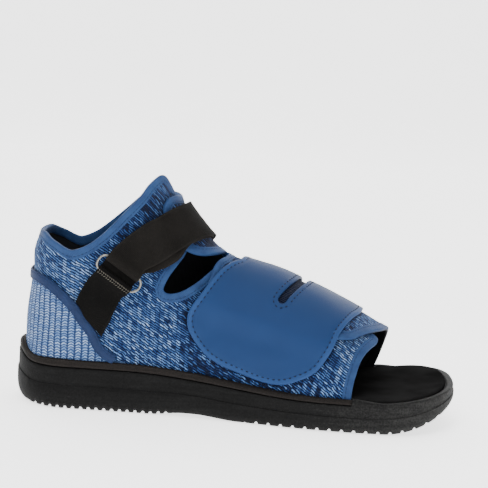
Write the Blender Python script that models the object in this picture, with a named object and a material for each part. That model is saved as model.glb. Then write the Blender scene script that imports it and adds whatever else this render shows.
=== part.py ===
"""Open-toe post-operative shoe for a right foot.

Metres. +X runs to the toe, +Y to the medial (big toe) side, +Z up; the origin is at the middle of the heel's
flat patch on the floor, while the tables and functions below measure x from the sole's rear end. Every closure
ends on the lateral side, which faces -Y.
The upper is patterned on the last's own grid: `around` is an angle in degrees, 0 on the ridge, 90 on the
lateral side, 180 at the heel back, 270 on the medial side and over 360 where the flaps lap over the lateral
quarter; `row` counts the rows of LAST from the toe mouth to above the ankle.
"""

import math

import bmesh
import bpy
import numpy as np
from mathutils.geometry import delaunay_2d_cdt

# Overall sizes
SOLE_LENGTH = 0.290
HEEL_WIDTH = 0.072
BALL_WIDTH = 0.104
INSTEP_HEIGHT = 0.0955
ANKLE_HEIGHT = 0.1545
GAP = 0.0003
ORIGIN = (0.19 * SOLE_LENGTH, 0, 0)

# Sole
HEEL_THICKNESS = 0.0279
FOREFOOT_THICKNESS = 0.0185
HEEL_CUP_RISE = 0.0065
HEEL_ROUND = 0.036
TOE_ROUND_LATERAL = 0.052
TOE_ROUND_MEDIAL = 0.036
TOE_SPRING = 0.0180
TOE_PLATFORM_RISE = 0.0090
ARCH_RISE = 0.0022
HEEL_BEVEL = 0.0030
RIM_HEIGHT = 0.0012
RIM_WIDTH = 0.0050
SIDE_STEP = 0.0006
LUG_DEPTH = 0.0016
LUG_SLOT = 0.0024
LUG_PITCH = 0.0078
SOLE_STATIONS = 42

# Rand and insole
RAND_HEIGHT_HEEL = 0.0054
RAND_HEIGHT_TOE = 0.0040
RAND_CUP_RISE = 0.0030
GROOVE = 0.0009
INSOLE_THICKNESS = 0.0030

# Upper, edge tape and closures
WALL = 0.0024
COUNTER_STEP = 0.0005
BINDING_WIDTH = 0.0058
BINDING_BULGE = 0.00035
TAPE_WIDTH = 0.0062
TAPE_THICKNESS = 0.0014
PANEL_THICKNESS = 0.0020
SLOT_WIDTH = 0.0042
WEBBING_WIDTH = 0.0250
WEBBING_THICKNESS = 0.0014
RING_WIRE = 0.0022
RING_OPENING = 0.0078

FLAP_LIFT = WALL + 2 * BINDING_BULGE + GAP

# Widths of the sole; along as a share of SOLE_LENGTH, ball from 0 at the heel width to 1 at the ball width,
# lateral the share of the width that lies on the lateral side.
SOLE_COLUMNS = ("along", "ball", "lateral")
SOLE_WIDTHS = (
    (0.00, 0.00, 0.500),
    (0.12, 0.00, 0.507),
    (0.21, 0.00, 0.514),
    (0.34, 0.02, 0.526),
    (0.48, 0.28, 0.530),
    (0.62, 0.74, 0.526),
    (0.74, 1.00, 0.519),
    (0.84, 1.03, 0.514),
    (1.00, 1.00, 0.510),
)

# The last. ridge and base are the two ends of a section in the side view: along as a share of SOLE_LENGTH,
# height in instep heights up to 1, and from 1 to 2 on up to the ankle. fill is the last's width as a share of
# the sole's there, widest the place of the greatest width from base to ridge, low and high the roundness.
LAST_COLUMNS = ("ridge_x", "ridge_z", "base_x", "base_z", "ball", "fill", "lateral", "widest", "low", "high")
LAST = (
    (0.862, 0.518, 0.848, 0.02, 1.00, 0.890, 0.517, 0.22, 4.0, 2.3),
    (0.800, 0.618, 0.780, 0.02, 1.00, 0.915, 0.516, 0.24, 4.0, 2.3),
    (0.690, 0.779, 0.685, 0.02, 0.92, 0.872, 0.529, 0.26, 4.0, 2.3),
    (0.590, 0.903, 0.590, 0.02, 0.62, 0.845, 0.532, 0.28, 4.0, 2.3),
    (0.512, 0.968, 0.500, 0.02, 0.34, 0.820, 0.536, 0.32, 4.0, 2.3),
    (0.455, 1.050, 0.385, 0.02, 0.08, 0.855, 0.527, 0.36, 3.8, 2.3),
    (0.412, 1.220, 0.250, 0.02, 0.00, 0.875, 0.518, 0.40, 3.6, 2.3),
    (0.380, 1.390, 0.110, 0.03, 0.00, 0.875, 0.511, 0.44, 3.3, 2.3),
    (0.358, 1.520, 0.034, 0.16, 0.00, 0.875, 0.510, 0.48, 2.9, 2.3),
    (0.344, 1.620, 0.028, 0.38, 0.00, 0.875, 0.507, 0.50, 2.6, 2.3),
    (0.334, 1.730, 0.028, 0.60, 0.00, 0.875, 0.506, 0.50, 2.5, 2.3),
    (0.326, 1.840, 0.036, 0.86, 0.00, 0.870, 0.505, 0.50, 2.4, 2.3),
    (0.319, 1.970, 0.036, 1.05, 0.00, 0.868, 0.505, 0.50, 2.4, 2.2),
    (0.314, 2.130, 0.050, 1.29, 0.00, 0.865, 0.505, 0.50, 2.3, 2.2),
    (0.312, 2.280, 0.060, 1.49, 0.00, 0.865, 0.505, 0.50, 2.3, 2.2),
)

# Pattern outlines, each row (around, row). SOFT outlines pass through their points on a smooth curve.
VAMP_FRONT = ((77, 1.32), (66, 1.28), (56, 1.23), (45, 1.12), (36, 0.99), (28, 0.87), (21, 0.88), (17, 1.10))
VAMP_TOP = ((19, 1.7), (22, 3.0), (24, 4.4))
THROAT = ((28, 5.30), (36, 5.45), (45, 5.63), (53, 5.84), (59, 6.05), (63, 6.30), (63.5, 6.52), (60, 6.60),
          (54, 6.63), (45, 6.60), (36, 6.58), (28, 6.72), (22, 7.1))
INSTEP_FRONT = ((15, 7.9), (9, 8.8))
COLLAR = ((3, 9.7), (3, 10.5), (9, 11.3), (16, 12.0), (23, 12.36), (31, 12.42), (44, 12.27), (55, 11.87),
          (74, 11.39), (89, 11.05), (98, 11.03), (109, 11.20), (115, 11.48), (126, 12.05), (148, 12.75),
          (164, 12.95), (180, 13.0), (196, 12.95), (212, 12.75), (234, 12.05), (245, 11.48), (251, 11.20),
          (262, 11.03), (271, 11.05), (286, 11.25), (300, 11.45), (314, 11.35))
FLAPS = ((328, 10.9), (342, 10.3), (354, 9.95), (366, 10.0), (376, 10.35), (385, 10.55), (393, 10.35),
         (396, 9.9), (396, 9.0), (396, 7.9), (395.5, 7.1), (394, 6.55), (389, 6.02), (382, 5.68), (372, 5.36),
         (361, 5.14), (354, 5.08), (350, 5.02), (354, 4.93), (361, 4.93), (371, 5.06), (380, 5.26),
         (389, 5.35), (399, 5.33), (406, 5.32), (411, 5.26))
FLAP_SIDE = ((412, 4.4), (411, 3.2))
FLAP_FRONT = ((410, 1.85), (403.5, 1.52), (396, 1.34), (386, 1.14), (376, 0.92), (364, 0.70), (350, 0.52),
              (335, 0.40), (320, 0.34), (305, 0.34), (290, 0.40), (282, 0.46))
COUNTER_SEAM = ((100, 6.55), (96, 7.05), (94.5, 7.60), (97.5, 8.30), (106, 9.18), (115.5, 9.93), (128, 10.45),
                (146, 10.85), (164, 11.05), (180, 11.1), (196, 11.05), (214, 10.85), (232, 10.45),
                (244.5, 9.93), (254, 9.18), (262.5, 8.30), (265.5, 7.60), (264, 7.05), (260, 6.55))
PANEL = ((9, 4.38), (20, 4.78), (32, 5.10), (45, 5.32), (56, 5.47), (63, 5.56), (69, 5.57), (74, 5.48),
         (78, 5.32), (82, 5.08), (85.5, 4.80), (87.5, 4.50), (88.5, 4.20), (89, 3.90), (89.3, 3.60),
         (89.3, 3.30), (88.8, 3.00), (87, 2.70), (84, 2.48), (80, 2.26), (74, 2.06), (65, 1.91), (56, 1.81),
         (44, 1.73), (32, 1.61), (20, 1.49), (7, 1.36), (-10, 1.28), (-30, 1.30), (-50, 1.45), (-66, 1.62),
         (-70, 1.90), (-71, 2.60), (-71, 3.30), (-70, 3.85), (-66, 4.15), (-50, 4.20), (-30, 4.18), (-10, 4.20))
PANEL_SLOT = ((37, 3.0), (17, 2.72), (0, 2.56), (-20, 2.46), (-36, 2.42))

# Edges of the webbing on the same grid: upper_around, upper_row, lower_around, lower_row, from the ring on.
STRAP_COLUMNS = ("upper_around", "upper_row", "lower_around", "lower_row")
STRAP_EDGES = (
    (86.0, 9.95, 71.5, 7.55),
    (80.5, 10.18, 65.5, 7.66),
    (75.5, 10.36, 60.0, 7.55),
    (68.5, 10.36, 53.5, 7.30),
    (56.0, 10.22, 43.0, 7.00),
    (41.0, 9.95, 29.0, 6.62),
    (25.0, 9.58, 15.0, 6.30),
    (8.0, 9.10, 3.0, 6.02),
    (-12.0, 8.70, -14.0, 5.85),
    (-30.0, 8.60, -32.0, 5.90),
    (-50.0, 8.80, -50.0, 6.20),
    (-70.0, 9.00, -68.0, 6.60),
)
TAB_EDGES = (
    (90.5, 9.80, 74.5, 7.62),
    (93.0, 9.62, 78.5, 7.62),
    (97.0, 9.38, 84.5, 7.50),
    (99.5, 9.18, 90.0, 7.36),
)


def smooth_rows(table, t):
    """Rows of a table at fractional row numbers t, on the smooth curve that passes through every row."""
    table = np.asarray(table, float)
    last = len(table) - 1
    t = np.clip(np.asarray(t, float), 0, last)
    i = np.minimum(t.astype(int), last - 1)
    f = (t - i)[..., None]
    before, here, there, after = (table[np.clip(i + k, 0, last)] for k in (-1, 0, 1, 2))
    return here + 0.5 * f * (there - before + f * (2 * before - 5 * here + 4 * there - after
                                                   + f * (3 * (here - there) + after - before)))


def smoothstep(low, high, value):
    share = np.clip((value - low) / (high - low), 0, 1)
    return share * share * (3 - 2 * share)


# The last

def last_rows():
    rows = np.array(LAST)
    rows[:, (0, 2)] *= SOLE_LENGTH
    for column in (1, 3):
        share = rows[:, column]
        rows[:, column] = (np.minimum(share, 1) * INSTEP_HEIGHT
                           + np.maximum(share - 1, 0) * (ANKLE_HEIGHT - INSTEP_HEIGHT))
    rows[:, 4] = (HEEL_WIDTH + (BALL_WIDTH - HEEL_WIDTH) * rows[:, 4]) * rows[:, 5]
    return rows


LAST_ROWS = last_rows()
LAST_END = len(LAST_ROWS) - 1


def skin(around, row):
    """Point of the last, the upper's inner face, at an angle in degrees and a fractional row."""
    around, row = np.broadcast_arrays(np.asarray(around, float), np.asarray(row, float))
    ridge_x, ridge_z, base_x, base_z, width, _, lateral, widest, low, high = np.moveaxis(
        smooth_rows(LAST_ROWS, row), -1, 0)
    c = np.cos(np.radians(around))
    s = np.sin(np.radians(around))
    power = 2 / np.where(c > 0, high, low)
    along = np.sign(c) * np.abs(c) ** power
    across = -np.sign(s) * np.abs(s) ** power
    share = widest + np.where(c > 0, 1 - widest, widest) * along
    half = width * np.where(s > 0, lateral, 1 - lateral)
    return np.stack([base_x + (ridge_x - base_x) * share, half * across, base_z + (ridge_z - base_z) * share], -1)


def tangents(around, row, step=0.05):
    """Changes of the skin's point for a degree around and for a row."""
    around = np.asarray(around, float)
    row = np.asarray(row, float)
    by_degree = (skin(around + step, row) - skin(around - step, row)) / (2 * step)
    back = np.maximum(row - step, 0)
    ahead = np.minimum(row + step, LAST_END)
    by_row = (skin(around, ahead) - skin(around, back)) / (ahead - back)[..., None]
    return by_degree, by_row


def lifted(around, row, lift):
    """Point at a height over the last, along its outward normal."""
    by_degree, by_row = tangents(around, row)
    normal = np.cross(by_row, by_degree)
    normal /= np.linalg.norm(normal, axis=-1, keepdims=True)
    return skin(around, row) + normal * np.asarray(lift, float)[..., None]


def slid(points, shift):
    """Pattern points moved sideways over the skin by shift, to the right of their path, in metres."""
    around, row = points[:, 0], points[:, 1]
    by_degree, by_row = tangents(around, row)
    ahead = np.roll(points, -1, 0)
    behind = np.roll(points, 1, 0)
    ahead[-1] = points[-1]
    behind[0] = points[0]
    way = ahead - behind
    along = by_degree * way[:, :1] + by_row * way[:, 1:]
    along /= np.linalg.norm(along, axis=1, keepdims=True)
    normal = np.cross(by_row, by_degree)
    normal /= np.linalg.norm(normal, axis=1, keepdims=True)
    side = np.cross(along, normal) * np.reshape(shift, (-1, 1))
    moved = points.copy()
    for k in range(len(points)):
        grid = np.stack([by_degree[k], by_row[k]], 1)
        moved[k] += np.linalg.lstsq(grid, side[k], rcond=None)[0]
    return moved


def walk(table, spacing):
    """A smooth pattern line through the table, with points about `spacing` metres apart on the skin."""
    fine = smooth_rows(table, np.linspace(0, len(table) - 1, 24 * len(table)))
    reach = np.r_[0, np.cumsum(np.linalg.norm(np.diff(skin(fine[:, 0], fine[:, 1]), axis=0), axis=1))]
    count = max(2, int(round(reach[-1] / spacing)) + 1)
    stops = np.linspace(0, reach[-1], count)
    return np.stack([np.interp(stops, reach, fine[:, 0]), np.interp(stops, reach, fine[:, 1])], 1)


def flap_lift(around):
    """Height of the upper's inner face over the last: the flaps ride over the lateral quarter."""
    return FLAP_LIFT * smoothstep(295, 345, around)


# Levels and edges of the sole along x

def along(share):
    return share * SOLE_LENGTH


def forefoot_share(x):
    """0 under the heel, 1 under the forefoot, over the slope of the waist."""
    return smoothstep(along(0.24), along(0.69), x)


def platform(x):
    """Top of the sole's block, where the upper, the rand and the insole stand."""
    x = np.asarray(x, float)
    level = HEEL_THICKNESS + (FOREFOOT_THICKNESS - HEEL_THICKNESS) * forefoot_share(x)
    cup = HEEL_CUP_RISE * np.exp(-(x / along(0.026)) ** 2)
    toe = np.clip((x - along(0.76)) / along(0.24), 0, 1)
    return level + cup + TOE_PLATFORM_RISE * toe ** 1.8


def rand_height(x):
    """Height of the rand over the platform."""
    level = RAND_HEIGHT_HEEL + (RAND_HEIGHT_TOE - RAND_HEIGHT_HEEL) * forefoot_share(x)
    return level + RAND_CUP_RISE * np.exp(-(np.asarray(x, float) / along(0.026)) ** 2)


def sole_bottom(x):
    """Underside of the sole: flat under heel and ball, hollow under the arch, rising at both ends."""
    x = np.asarray(x, float)
    heel = np.clip(1 - x / along(0.06), 0, 1)
    arch = smoothstep(along(0.31), along(0.39), x) * (1 - smoothstep(along(0.41), along(0.51), x))
    toe = np.clip((x - along(0.83)) / along(0.17), 0, 1)
    return HEEL_BEVEL * heel ** 2 + ARCH_RISE * arch + TOE_SPRING * toe ** 1.9


def sole_half(x, medial):
    """Distance from the centre line to the sole's edge."""
    table = np.array(SOLE_WIDTHS)
    row = np.interp(np.asarray(x, float) / SOLE_LENGTH, table[:, 0], np.arange(len(table)))
    _, ball, lateral = np.moveaxis(smooth_rows(table, row), -1, 0)
    width = HEEL_WIDTH + (BALL_WIDTH - HEEL_WIDTH) * ball
    heel = np.clip(1 - x / HEEL_ROUND, 0, 1)
    toe = np.clip(1 - (SOLE_LENGTH - x) / (TOE_ROUND_MEDIAL if medial else TOE_ROUND_LATERAL), 0, 1)
    rounding = (1 - heel ** 2) ** 0.5 * (1 - toe ** 2.4) ** (1 / 2.4)
    return width * (1 - lateral if medial else lateral) * rounding


def sole_stations(steps=()):
    """x of the stations, close together at both ends, with a pair of stations at each step."""
    even = SOLE_LENGTH * (1 - np.cos(np.pi * np.arange(SOLE_STATIONS + 1) / SOLE_STATIONS)) / 2
    clear = [x for x in even if all(abs(x - step) > 0.0025 for step in steps)]
    return np.array(sorted(clear + [step + shift for step in steps for shift in (-GAP, GAP)]))


def sole_ring(stations, inset):
    """Closed plan outline, along the lateral side to the toe and back along the medial side."""
    lateral = np.stack([stations, -sole_half(stations, False)], 1)
    medial = np.stack([stations, sole_half(stations, True)], 1)[-2:0:-1]
    ring = np.concatenate([lateral, medial])
    way = np.roll(ring, -1, 0) - np.roll(ring, 1, 0)
    way /= np.linalg.norm(way, axis=1, keepdims=True)
    return ring + np.stack([-way[:, 1], way[:, 0]], 1) * np.reshape(inset, (-1, 1))


# Where the upper meets the sole

TURN_ROW = 6.6


def solve(low, high, error, rounds=40):
    """Bisection on arrays; error is positive at low."""
    low = np.array(low, float)
    high = np.array(high, float)
    for _ in range(rounds):
        middle = (low + high) / 2
        over = error(middle) > 0
        low = np.where(over, middle, low)
        high = np.where(over, high, middle)
    return (low + high) / 2


def seam(rise, lift, lateral_row, medial_row, counts=(20, 27, 22)):
    """Pattern line at `rise(x)` over the platform, from the lateral front round the heel to the medial front."""
    def over(around, row):
        point = lifted(around, row, lift)
        return point[..., 2] - platform(point[..., 0]) - rise(point[..., 0])

    lateral = np.linspace(lateral_row, TURN_ROW, counts[0])
    lateral_around = solve(np.full(counts[0], 60.0), np.full(counts[0], 179.0), lambda a: over(a, lateral))
    medial = np.linspace(TURN_ROW, medial_row, counts[2])
    medial_around = solve(np.full(counts[2], 300.0), np.full(counts[2], 181.0), lambda a: over(a, medial))
    heel = np.linspace(lateral_around[-1], medial_around[0], counts[1] + 2)[1:-1]
    heel_row = solve(np.full(counts[1], 12.0), np.full(counts[1], 4.0), lambda r: over(heel, r))
    return np.stack([np.r_[lateral_around, heel, medial_around], np.r_[lateral, heel_row, medial]], 1)


# Building solids

def build(name, vertices, faces, colour, roughness, metallic=0.0, sharp=math.radians(35)):
    mesh = bpy.data.meshes.new(name)
    mesh.from_pydata([tuple(v) for v in vertices - ORIGIN], [], [tuple(int(k) for k in f) for f in faces])
    part = bmesh.new()
    part.from_mesh(mesh)
    bmesh.ops.recalc_face_normals(part, faces=part.faces)
    part.to_mesh(mesh)
    part.free()
    mesh.shade_smooth()
    mesh.set_sharp_from_angle(angle=sharp)
    finish = bpy.data.materials.new(name)
    finish.use_nodes = True
    shader = finish.node_tree.nodes["Principled BSDF"]
    shader.inputs["Base Color"].default_value = (*colour, 1)
    shader.inputs["Roughness"].default_value = roughness
    shader.inputs["Metallic"].default_value = metallic
    finish.diffuse_color = (*colour, 1)
    mesh.materials.append(finish)
    item = bpy.data.objects.new(name, mesh)
    bpy.context.collection.objects.link(item)
    return item


def ladder(start, count):
    """Faces that close a ring of `count` points, straight across from side to side."""
    faces = []
    for i in range(count // 2):
        rung = [i, i + 1, (count - i - 1) % count, (count - i) % count]
        faces.append([start + k for k in dict.fromkeys(rung)])
    return faces


def loft(rings, closed=False):
    """Vertices and faces of a tube through equal rings; an open tube gets a ladder over each end."""
    count = len(rings[0])
    faces = []
    for r in range(len(rings) if closed else len(rings) - 1):
        here = r * count
        there = (r + 1) % len(rings) * count
        for k in range(count):
            after = (k + 1) % count
            faces.append((here + k, here + after, there + after, there + k))
    if not closed:
        faces += ladder(0, count) + ladder((len(rings) - 1) * count, count)
    return np.concatenate(rings), faces


def inside(points, outline):
    """Which plan points lie inside a closed outline."""
    x, y = points[:, :1], points[:, 1:]
    ax, ay = outline[:, 0], outline[:, 1]
    bx, by = np.roll(ax, -1), np.roll(ay, -1)
    crosses = (ay > y) != (by > y)
    reach = ax + (y - ay) * (bx - ax) / np.where(by == ay, 1, by - ay)
    return (crosses & (x < reach)).sum(1) % 2 == 1


def triangulated(outline, spacing, holes=(), lines=()):
    """Plan points and triangles of an outline, with points `spacing` apart inside it."""
    loops = [outline, *holes]
    points = np.concatenate([*loops, *lines])
    edges = []
    start = 0
    for loop in loops:
        edges += [(start + k, start + (k + 1) % len(loop)) for k in range(len(loop))]
        start += len(loop)
    for line in lines:
        edges += [(start + k, start + k + 1) for k in range(len(line) - 1)]
        start += len(line)
    low = outline.min(0)
    high = outline.max(0)
    grid = np.array([(x + spacing / 2 * (j % 2), y)
                     for j, y in enumerate(np.arange(low[1], high[1], spacing * 0.87))
                     for x in np.arange(low[0], high[0], spacing)])
    near = np.min(np.linalg.norm(grid[:, None] - points[None], axis=2), axis=1)
    grid = grid[inside(grid, outline) & (near > 0.6 * spacing)]
    every = np.concatenate([points, grid])
    found = delaunay_2d_cdt([tuple(p) for p in every], edges, [], 0, 1e-7)
    corners = np.array([tuple(p) for p in found[0]])
    triangles = np.array([f for f in found[2]])
    middle = corners[triangles].mean(1)
    keep = inside(middle, outline)
    for hole in holes:
        keep &= ~inside(middle, hole)
    return corners, triangles[keep]


def slab(corners, triangles, low, high):
    """Vertices and faces of a solid between two lifted copies of a triangulated outline."""
    count = len(corners)
    used = {}
    for triangle in triangles:
        for k in range(3):
            edge = (triangle[k], triangle[(k + 1) % 3])
            used[edge] = True
    rim = [edge for edge in used if (edge[1], edge[0]) not in used]
    faces = [tuple(t + count) for t in triangles] + [tuple(t[::-1]) for t in triangles]
    faces += [(b + count, a + count, a, b) for a, b in rim]
    vertices = np.concatenate([low(corners), high(corners)])
    kept = sorted({k for face in faces for k in face})
    number = {k: i for i, k in enumerate(kept)}
    return vertices[kept], [tuple(number[k] for k in face) for face in faces]


PATTERN_SCALE = np.array([math.radians(1) * HEEL_WIDTH / 2, 0.062 * SOLE_LENGTH])


def pattern_sheet(name, outline, low, high, spacing, colour, roughness, holes=(), lines=()):
    """A solid cut to a pattern outline, between the heights low and high over the last."""
    corners, triangles = triangulated(outline * PATTERN_SCALE, spacing,
                                      [hole * PATTERN_SCALE for hole in holes],
                                      [line * PATTERN_SCALE for line in lines])
    def at(height):
        return lambda flat: lifted(*(flat / PATTERN_SCALE).T, height(flat / PATTERN_SCALE))
    return build(name, *slab(corners, triangles, at(low), at(high)), colour, roughness)


def edging(name, lines, section, colour, roughness):
    """A strip swept along pattern lines: each section point is a place across it and a height over the last."""
    rings = [lifted(line[:, 0], line[:, 1], height) for line, height in zip(lines, section)]
    return build(name, *loft(list(np.stack(rings, 1))), colour, roughness, sharp=math.radians(60))


BLUE_TAPE = (0.052, 0.135, 0.33)
KNIT = (0.085, 0.18, 0.38)
BLACK_WEBBING = (0.018, 0.017, 0.016)


def binding(name, line):
    """A rolled tape over the raw edge that runs along `line`, with the wall on the left of its way."""
    across = np.array([0.0, 0.14, 0.5, 1.0, 1.0, 0.5, 0.14]) * BINDING_WIDTH
    top = WALL + BINDING_BULGE
    rise = np.array([WALL / 2, top - BINDING_BULGE, top, top, -BINDING_BULGE, -BINDING_BULGE, 0.0])
    lines = [slid(line, -shift) for shift in across]
    lift = flap_lift(line[:, 0])
    return edging(name, lines, [lift + r for r in rise], BLUE_TAPE, 0.6)


def bound(line):
    """The knit's own edge behind a binding."""
    return slid(line, -(BINDING_WIDTH + GAP))


# Pattern lines that several pieces share

HEM_RISE = 2 * GAP
VAMP_ROW = VAMP_FRONT[0][1]
TOE_ROW = FLAP_FRONT[-1][1]
EDGE_SPACING = 0.006


def hem_line(lift, lateral_row=VAMP_ROW, medial_row=TOE_ROW, rise=lambda x: HEM_RISE):
    return seam(rise, lift, lateral_row, medial_row)


HEM = hem_line(WALL)
VAMP_EDGE = walk((HEM[0], *VAMP_FRONT), EDGE_SPACING)
THROAT_EDGE = walk(THROAT, EDGE_SPACING * 0.8)
COLLAR_EDGE = walk(COLLAR, EDGE_SPACING * 1.4)
FLAPS_EDGE = walk(FLAPS, EDGE_SPACING * 0.8)
TOE_EDGE = walk((*FLAP_FRONT, HEM[-1]), EDGE_SPACING * 1.2)
COUNTER_LINE = walk((HEM[np.argmin(abs(HEM[:, 0] - COUNTER_SEAM[0][0]))], *COUNTER_SEAM[1:-1],
                     HEM[np.argmin(abs(HEM[:, 0] - COUNTER_SEAM[-1][0]))]), EDGE_SPACING * 1.4)
VAMP_END = float(lifted(*HEM[0], WALL)[0]) + 3 * GAP
TOE_END = float(lifted(*HEM[-1], WALL)[0]) + 3 * GAP


def rim_top(x, station, end):
    """Top of the sole's own rim at stations past the rand's end, and the platform behind it."""
    fade = 1 - smoothstep(end, end + along(0.08), x)
    rim = RIM_HEIGHT + (rand_height(x) - RIM_HEIGHT) * fade
    return platform(x) + np.where(station > end, rim, 0)


# Profile of the sole's side: height as a share of the way from the underside to the platform, and inset.
SIDE_COLUMNS = ("height", "inset")
SOLE_SIDE = (
    (0.00, 0.0052),
    (0.05, 0.0024),
    (0.16, 0.0007),
    (0.34, 0.0000),
    (0.58, 0.0000),
    (0.60, SIDE_STEP),
)


def make_outsole():
    stations = sole_stations((VAMP_END, TOE_END))
    count = 2 * len(stations) - 2
    end = np.where(np.arange(count) >= len(stations), TOE_END, VAMP_END)
    ring_x = sole_ring(stations, 0)[:, 0]

    def at(inset, height):
        ring = sole_ring(stations, inset)
        return np.column_stack([ring, height(ring[:, 0])])

    def top(x):
        return rim_top(x, ring_x, end)

    rings = [at(0.0095, sole_bottom)]
    for share, inset in SOLE_SIDE:
        rings.append(at(inset, lambda x, s=share: sole_bottom(x) * (1 - s) + platform(x) * s))
    rings.append(at(SIDE_STEP, lambda x: top(x) - 1.5 * GROOVE))
    rings.append(at(SIDE_STEP + GROOVE, top))
    rings.append(at(SIDE_STEP + 2.5 * GROOVE, top))
    rings.append(at(RIM_WIDTH, top))
    rings.append(at(RIM_WIDTH + GAP, platform))
    outsole = build("outsole", *loft(rings), (0.022, 0.022, 0.022), 0.75)
    cut_lugs(outsole)


def cut_lugs(outsole):
    """Short slots between the lugs along both edges of the heel and the forefoot."""
    slots = bmesh.new()
    groups = ((along(0.035), along(0.135), 0.65 * LUG_PITCH), (along(0.525), along(0.95), LUG_PITCH))
    for first, last, pitch in groups:
        for x in np.arange(first, last, pitch):
            slope = math.atan2(float(sole_bottom(x + 0.002) - sole_bottom(x - 0.002)), 0.004)
            for side in (False, True):
                half = float(sole_half(x, side))
                inner = half - 0.0125
                cube = bmesh.ops.create_cube(slots, size=1.0)["verts"]
                for corner in cube:
                    across = inner if corner.co.y < 0 else half + 0.010
                    high = LUG_DEPTH if corner.co.z > 0 else -0.010
                    step = corner.co.x * LUG_SLOT
                    corner.co = (x - ORIGIN[0] + step * math.cos(slope) - high * math.sin(slope),
                                 across if side else -across,
                                 float(sole_bottom(x)) + step * math.sin(slope) + high * math.cos(slope))
    bmesh.ops.recalc_face_normals(slots, faces=slots.faces)
    mesh = bpy.data.meshes.new("lug_slots")
    slots.to_mesh(mesh)
    slots.free()
    cutter = bpy.data.objects.new("lug_slots", mesh)
    bpy.context.collection.objects.link(cutter)
    cutter.hide_render = True
    cutter.display_type = 'WIRE'
    cut = outsole.modifiers.new("lugs", 'BOOLEAN')
    cut.operation = 'DIFFERENCE'
    cut.solver = 'EXACT'
    cut.object = cutter


RAND_LIFT = WALL + max(BINDING_BULGE, COUNTER_STEP) + GAP
RAND_LIP = 0.0016


def make_rand():
    """Band round the upper's foot, flush with the sole's side, with the groove under it."""
    front = VAMP_ROW - 0.02, TOE_ROW - 0.02
    low = hem_line(RAND_LIFT, *front, lambda x: GAP)
    high = hem_line(RAND_LIFT, *front, rand_height)
    inner_low = lifted(low[:, 0], low[:, 1], RAND_LIFT)
    inner_high = lifted(high[:, 0], high[:, 1], RAND_LIFT)
    stations = np.linspace(0, SOLE_LENGTH, 1200)
    stations = SOLE_LENGTH * (1 - np.cos(np.pi * stations / SOLE_LENGTH)) / 2
    edge = sole_ring(stations, 0)
    side = sole_ring(stations, 1) - edge
    near = np.argmin(np.linalg.norm(inner_low[:, None, :2] - edge[None], axis=2), axis=1)

    def outer(inset, height):
        spot = edge[near] + side[near] * inset
        return np.column_stack([spot, height(spot[:, 0])])

    lip = inner_high.copy()
    lip[:, :2] -= side[near] * RAND_LIP
    rings = [
        inner_low,
        outer(SIDE_STEP + 2 * GROOVE, lambda x: platform(x) + GAP),
        outer(SIDE_STEP + 0.3 * GROOVE, lambda x: platform(x) + GROOVE),
        outer(SIDE_STEP + 0.6 * GROOVE, lambda x: platform(x) + 0.55 * rand_height(x)),
        lip - (0, 0, 2 * GAP),
        inner_high,
    ]
    build("rand", *loft(list(np.stack(rings, 1))), (0.030, 0.026, 0.024), 0.7)


def make_insole():
    lift = -(BINDING_BULGE + 3 * GAP)
    foot = hem_line(lift, VAMP_ROW + 0.02, TOE_ROW + 0.02)
    foot = lifted(foot[:, 0], foot[:, 1], lift)[:, :2]
    stations = sole_stations()
    tray = sole_ring(stations, RIM_WIDTH + 3 * GAP)
    half = len(stations)
    lateral = tray[:half][tray[:half, 0] > VAMP_END + along(0.02)]
    medial = tray[half:][tray[half:, 0] > TOE_END + along(0.02)]
    outline = np.concatenate([lateral, medial, foot[::-1]])
    corners, triangles = triangulated(outline, 0.013)

    def at(rise):
        return lambda flat: np.column_stack([flat, platform(flat[:, 0]) + rise])

    build("insole", *slab(corners, triangles, at(2 * GAP), at(2 * GAP + INSOLE_THICKNESS)), (0.012, 0.012, 0.012), 0.55)


def make_upper():
    outline = np.concatenate([
        bound(VAMP_EDGE), walk(VAMP_TOP, 0.010), bound(THROAT_EDGE), walk(INSTEP_FRONT, 0.010),
        bound(COLLAR_EDGE), bound(FLAPS_EDGE), walk(FLAP_SIDE, 0.010), bound(TOE_EDGE),
        HEM[HEM[:, 1] > 0][::-1][1:-1],
    ])
    counter = np.concatenate([COUNTER_LINE, HEM[(HEM[:, 0] > COUNTER_LINE[0, 0])
                                                & (HEM[:, 0] < COUNTER_LINE[-1, 0])][::-1]])

    def low(points):
        return flap_lift(points[:, 0])

    def high(points):
        return low(points) + WALL + COUNTER_STEP * inside(points, counter)

    inner = COUNTER_LINE[1:-1]
    pattern_sheet("upper", outline, low, high, 0.0095, KNIT, 0.9,
                  lines=[slid(inner, 0.0006)[1:-1], slid(inner, -0.0006)[1:-1]])


def make_bindings():
    binding("vamp_binding", VAMP_EDGE)
    binding("throat_binding", THROAT_EDGE)
    binding("collar_binding", COLLAR_EDGE)
    binding("flap_binding", FLAPS_EDGE)
    binding("toe_binding", TOE_EDGE)


def make_counter_tape():
    """Raised tape over the seam between counter and quarters."""
    across = np.array([-0.5, -0.38, 0.38, 0.5, 0.5, -0.5]) * TAPE_WIDTH
    foot = WALL + COUNTER_STEP + GAP
    rise = foot + np.array([0.45, 1.0, 1.0, 0.45, 0.0, 0.0]) * TAPE_THICKNESS
    spots = lifted(COUNTER_LINE[:, 0], COUNTER_LINE[:, 1], foot)
    line = COUNTER_LINE[spots[:, 2] > platform(spots[:, 0]) + rand_height(spots[:, 0]) + TAPE_WIDTH / 4]
    edging("counter_tape", [slid(line, shift) for shift in across],
           [np.full(len(line), r) for r in rise], BLUE_TAPE, 0.6)


def panel_lift(points):
    """Underside of the panel: over the flap, then down onto the lateral quarter past the flap's edge."""
    around = points[:, 0]
    over_flap = flap_lift(around + 360) + WALL + BINDING_BULGE + 2 * GAP
    return over_flap + (WALL + BINDING_BULGE + GAP - over_flap) * smoothstep(54, 72, around)


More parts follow.
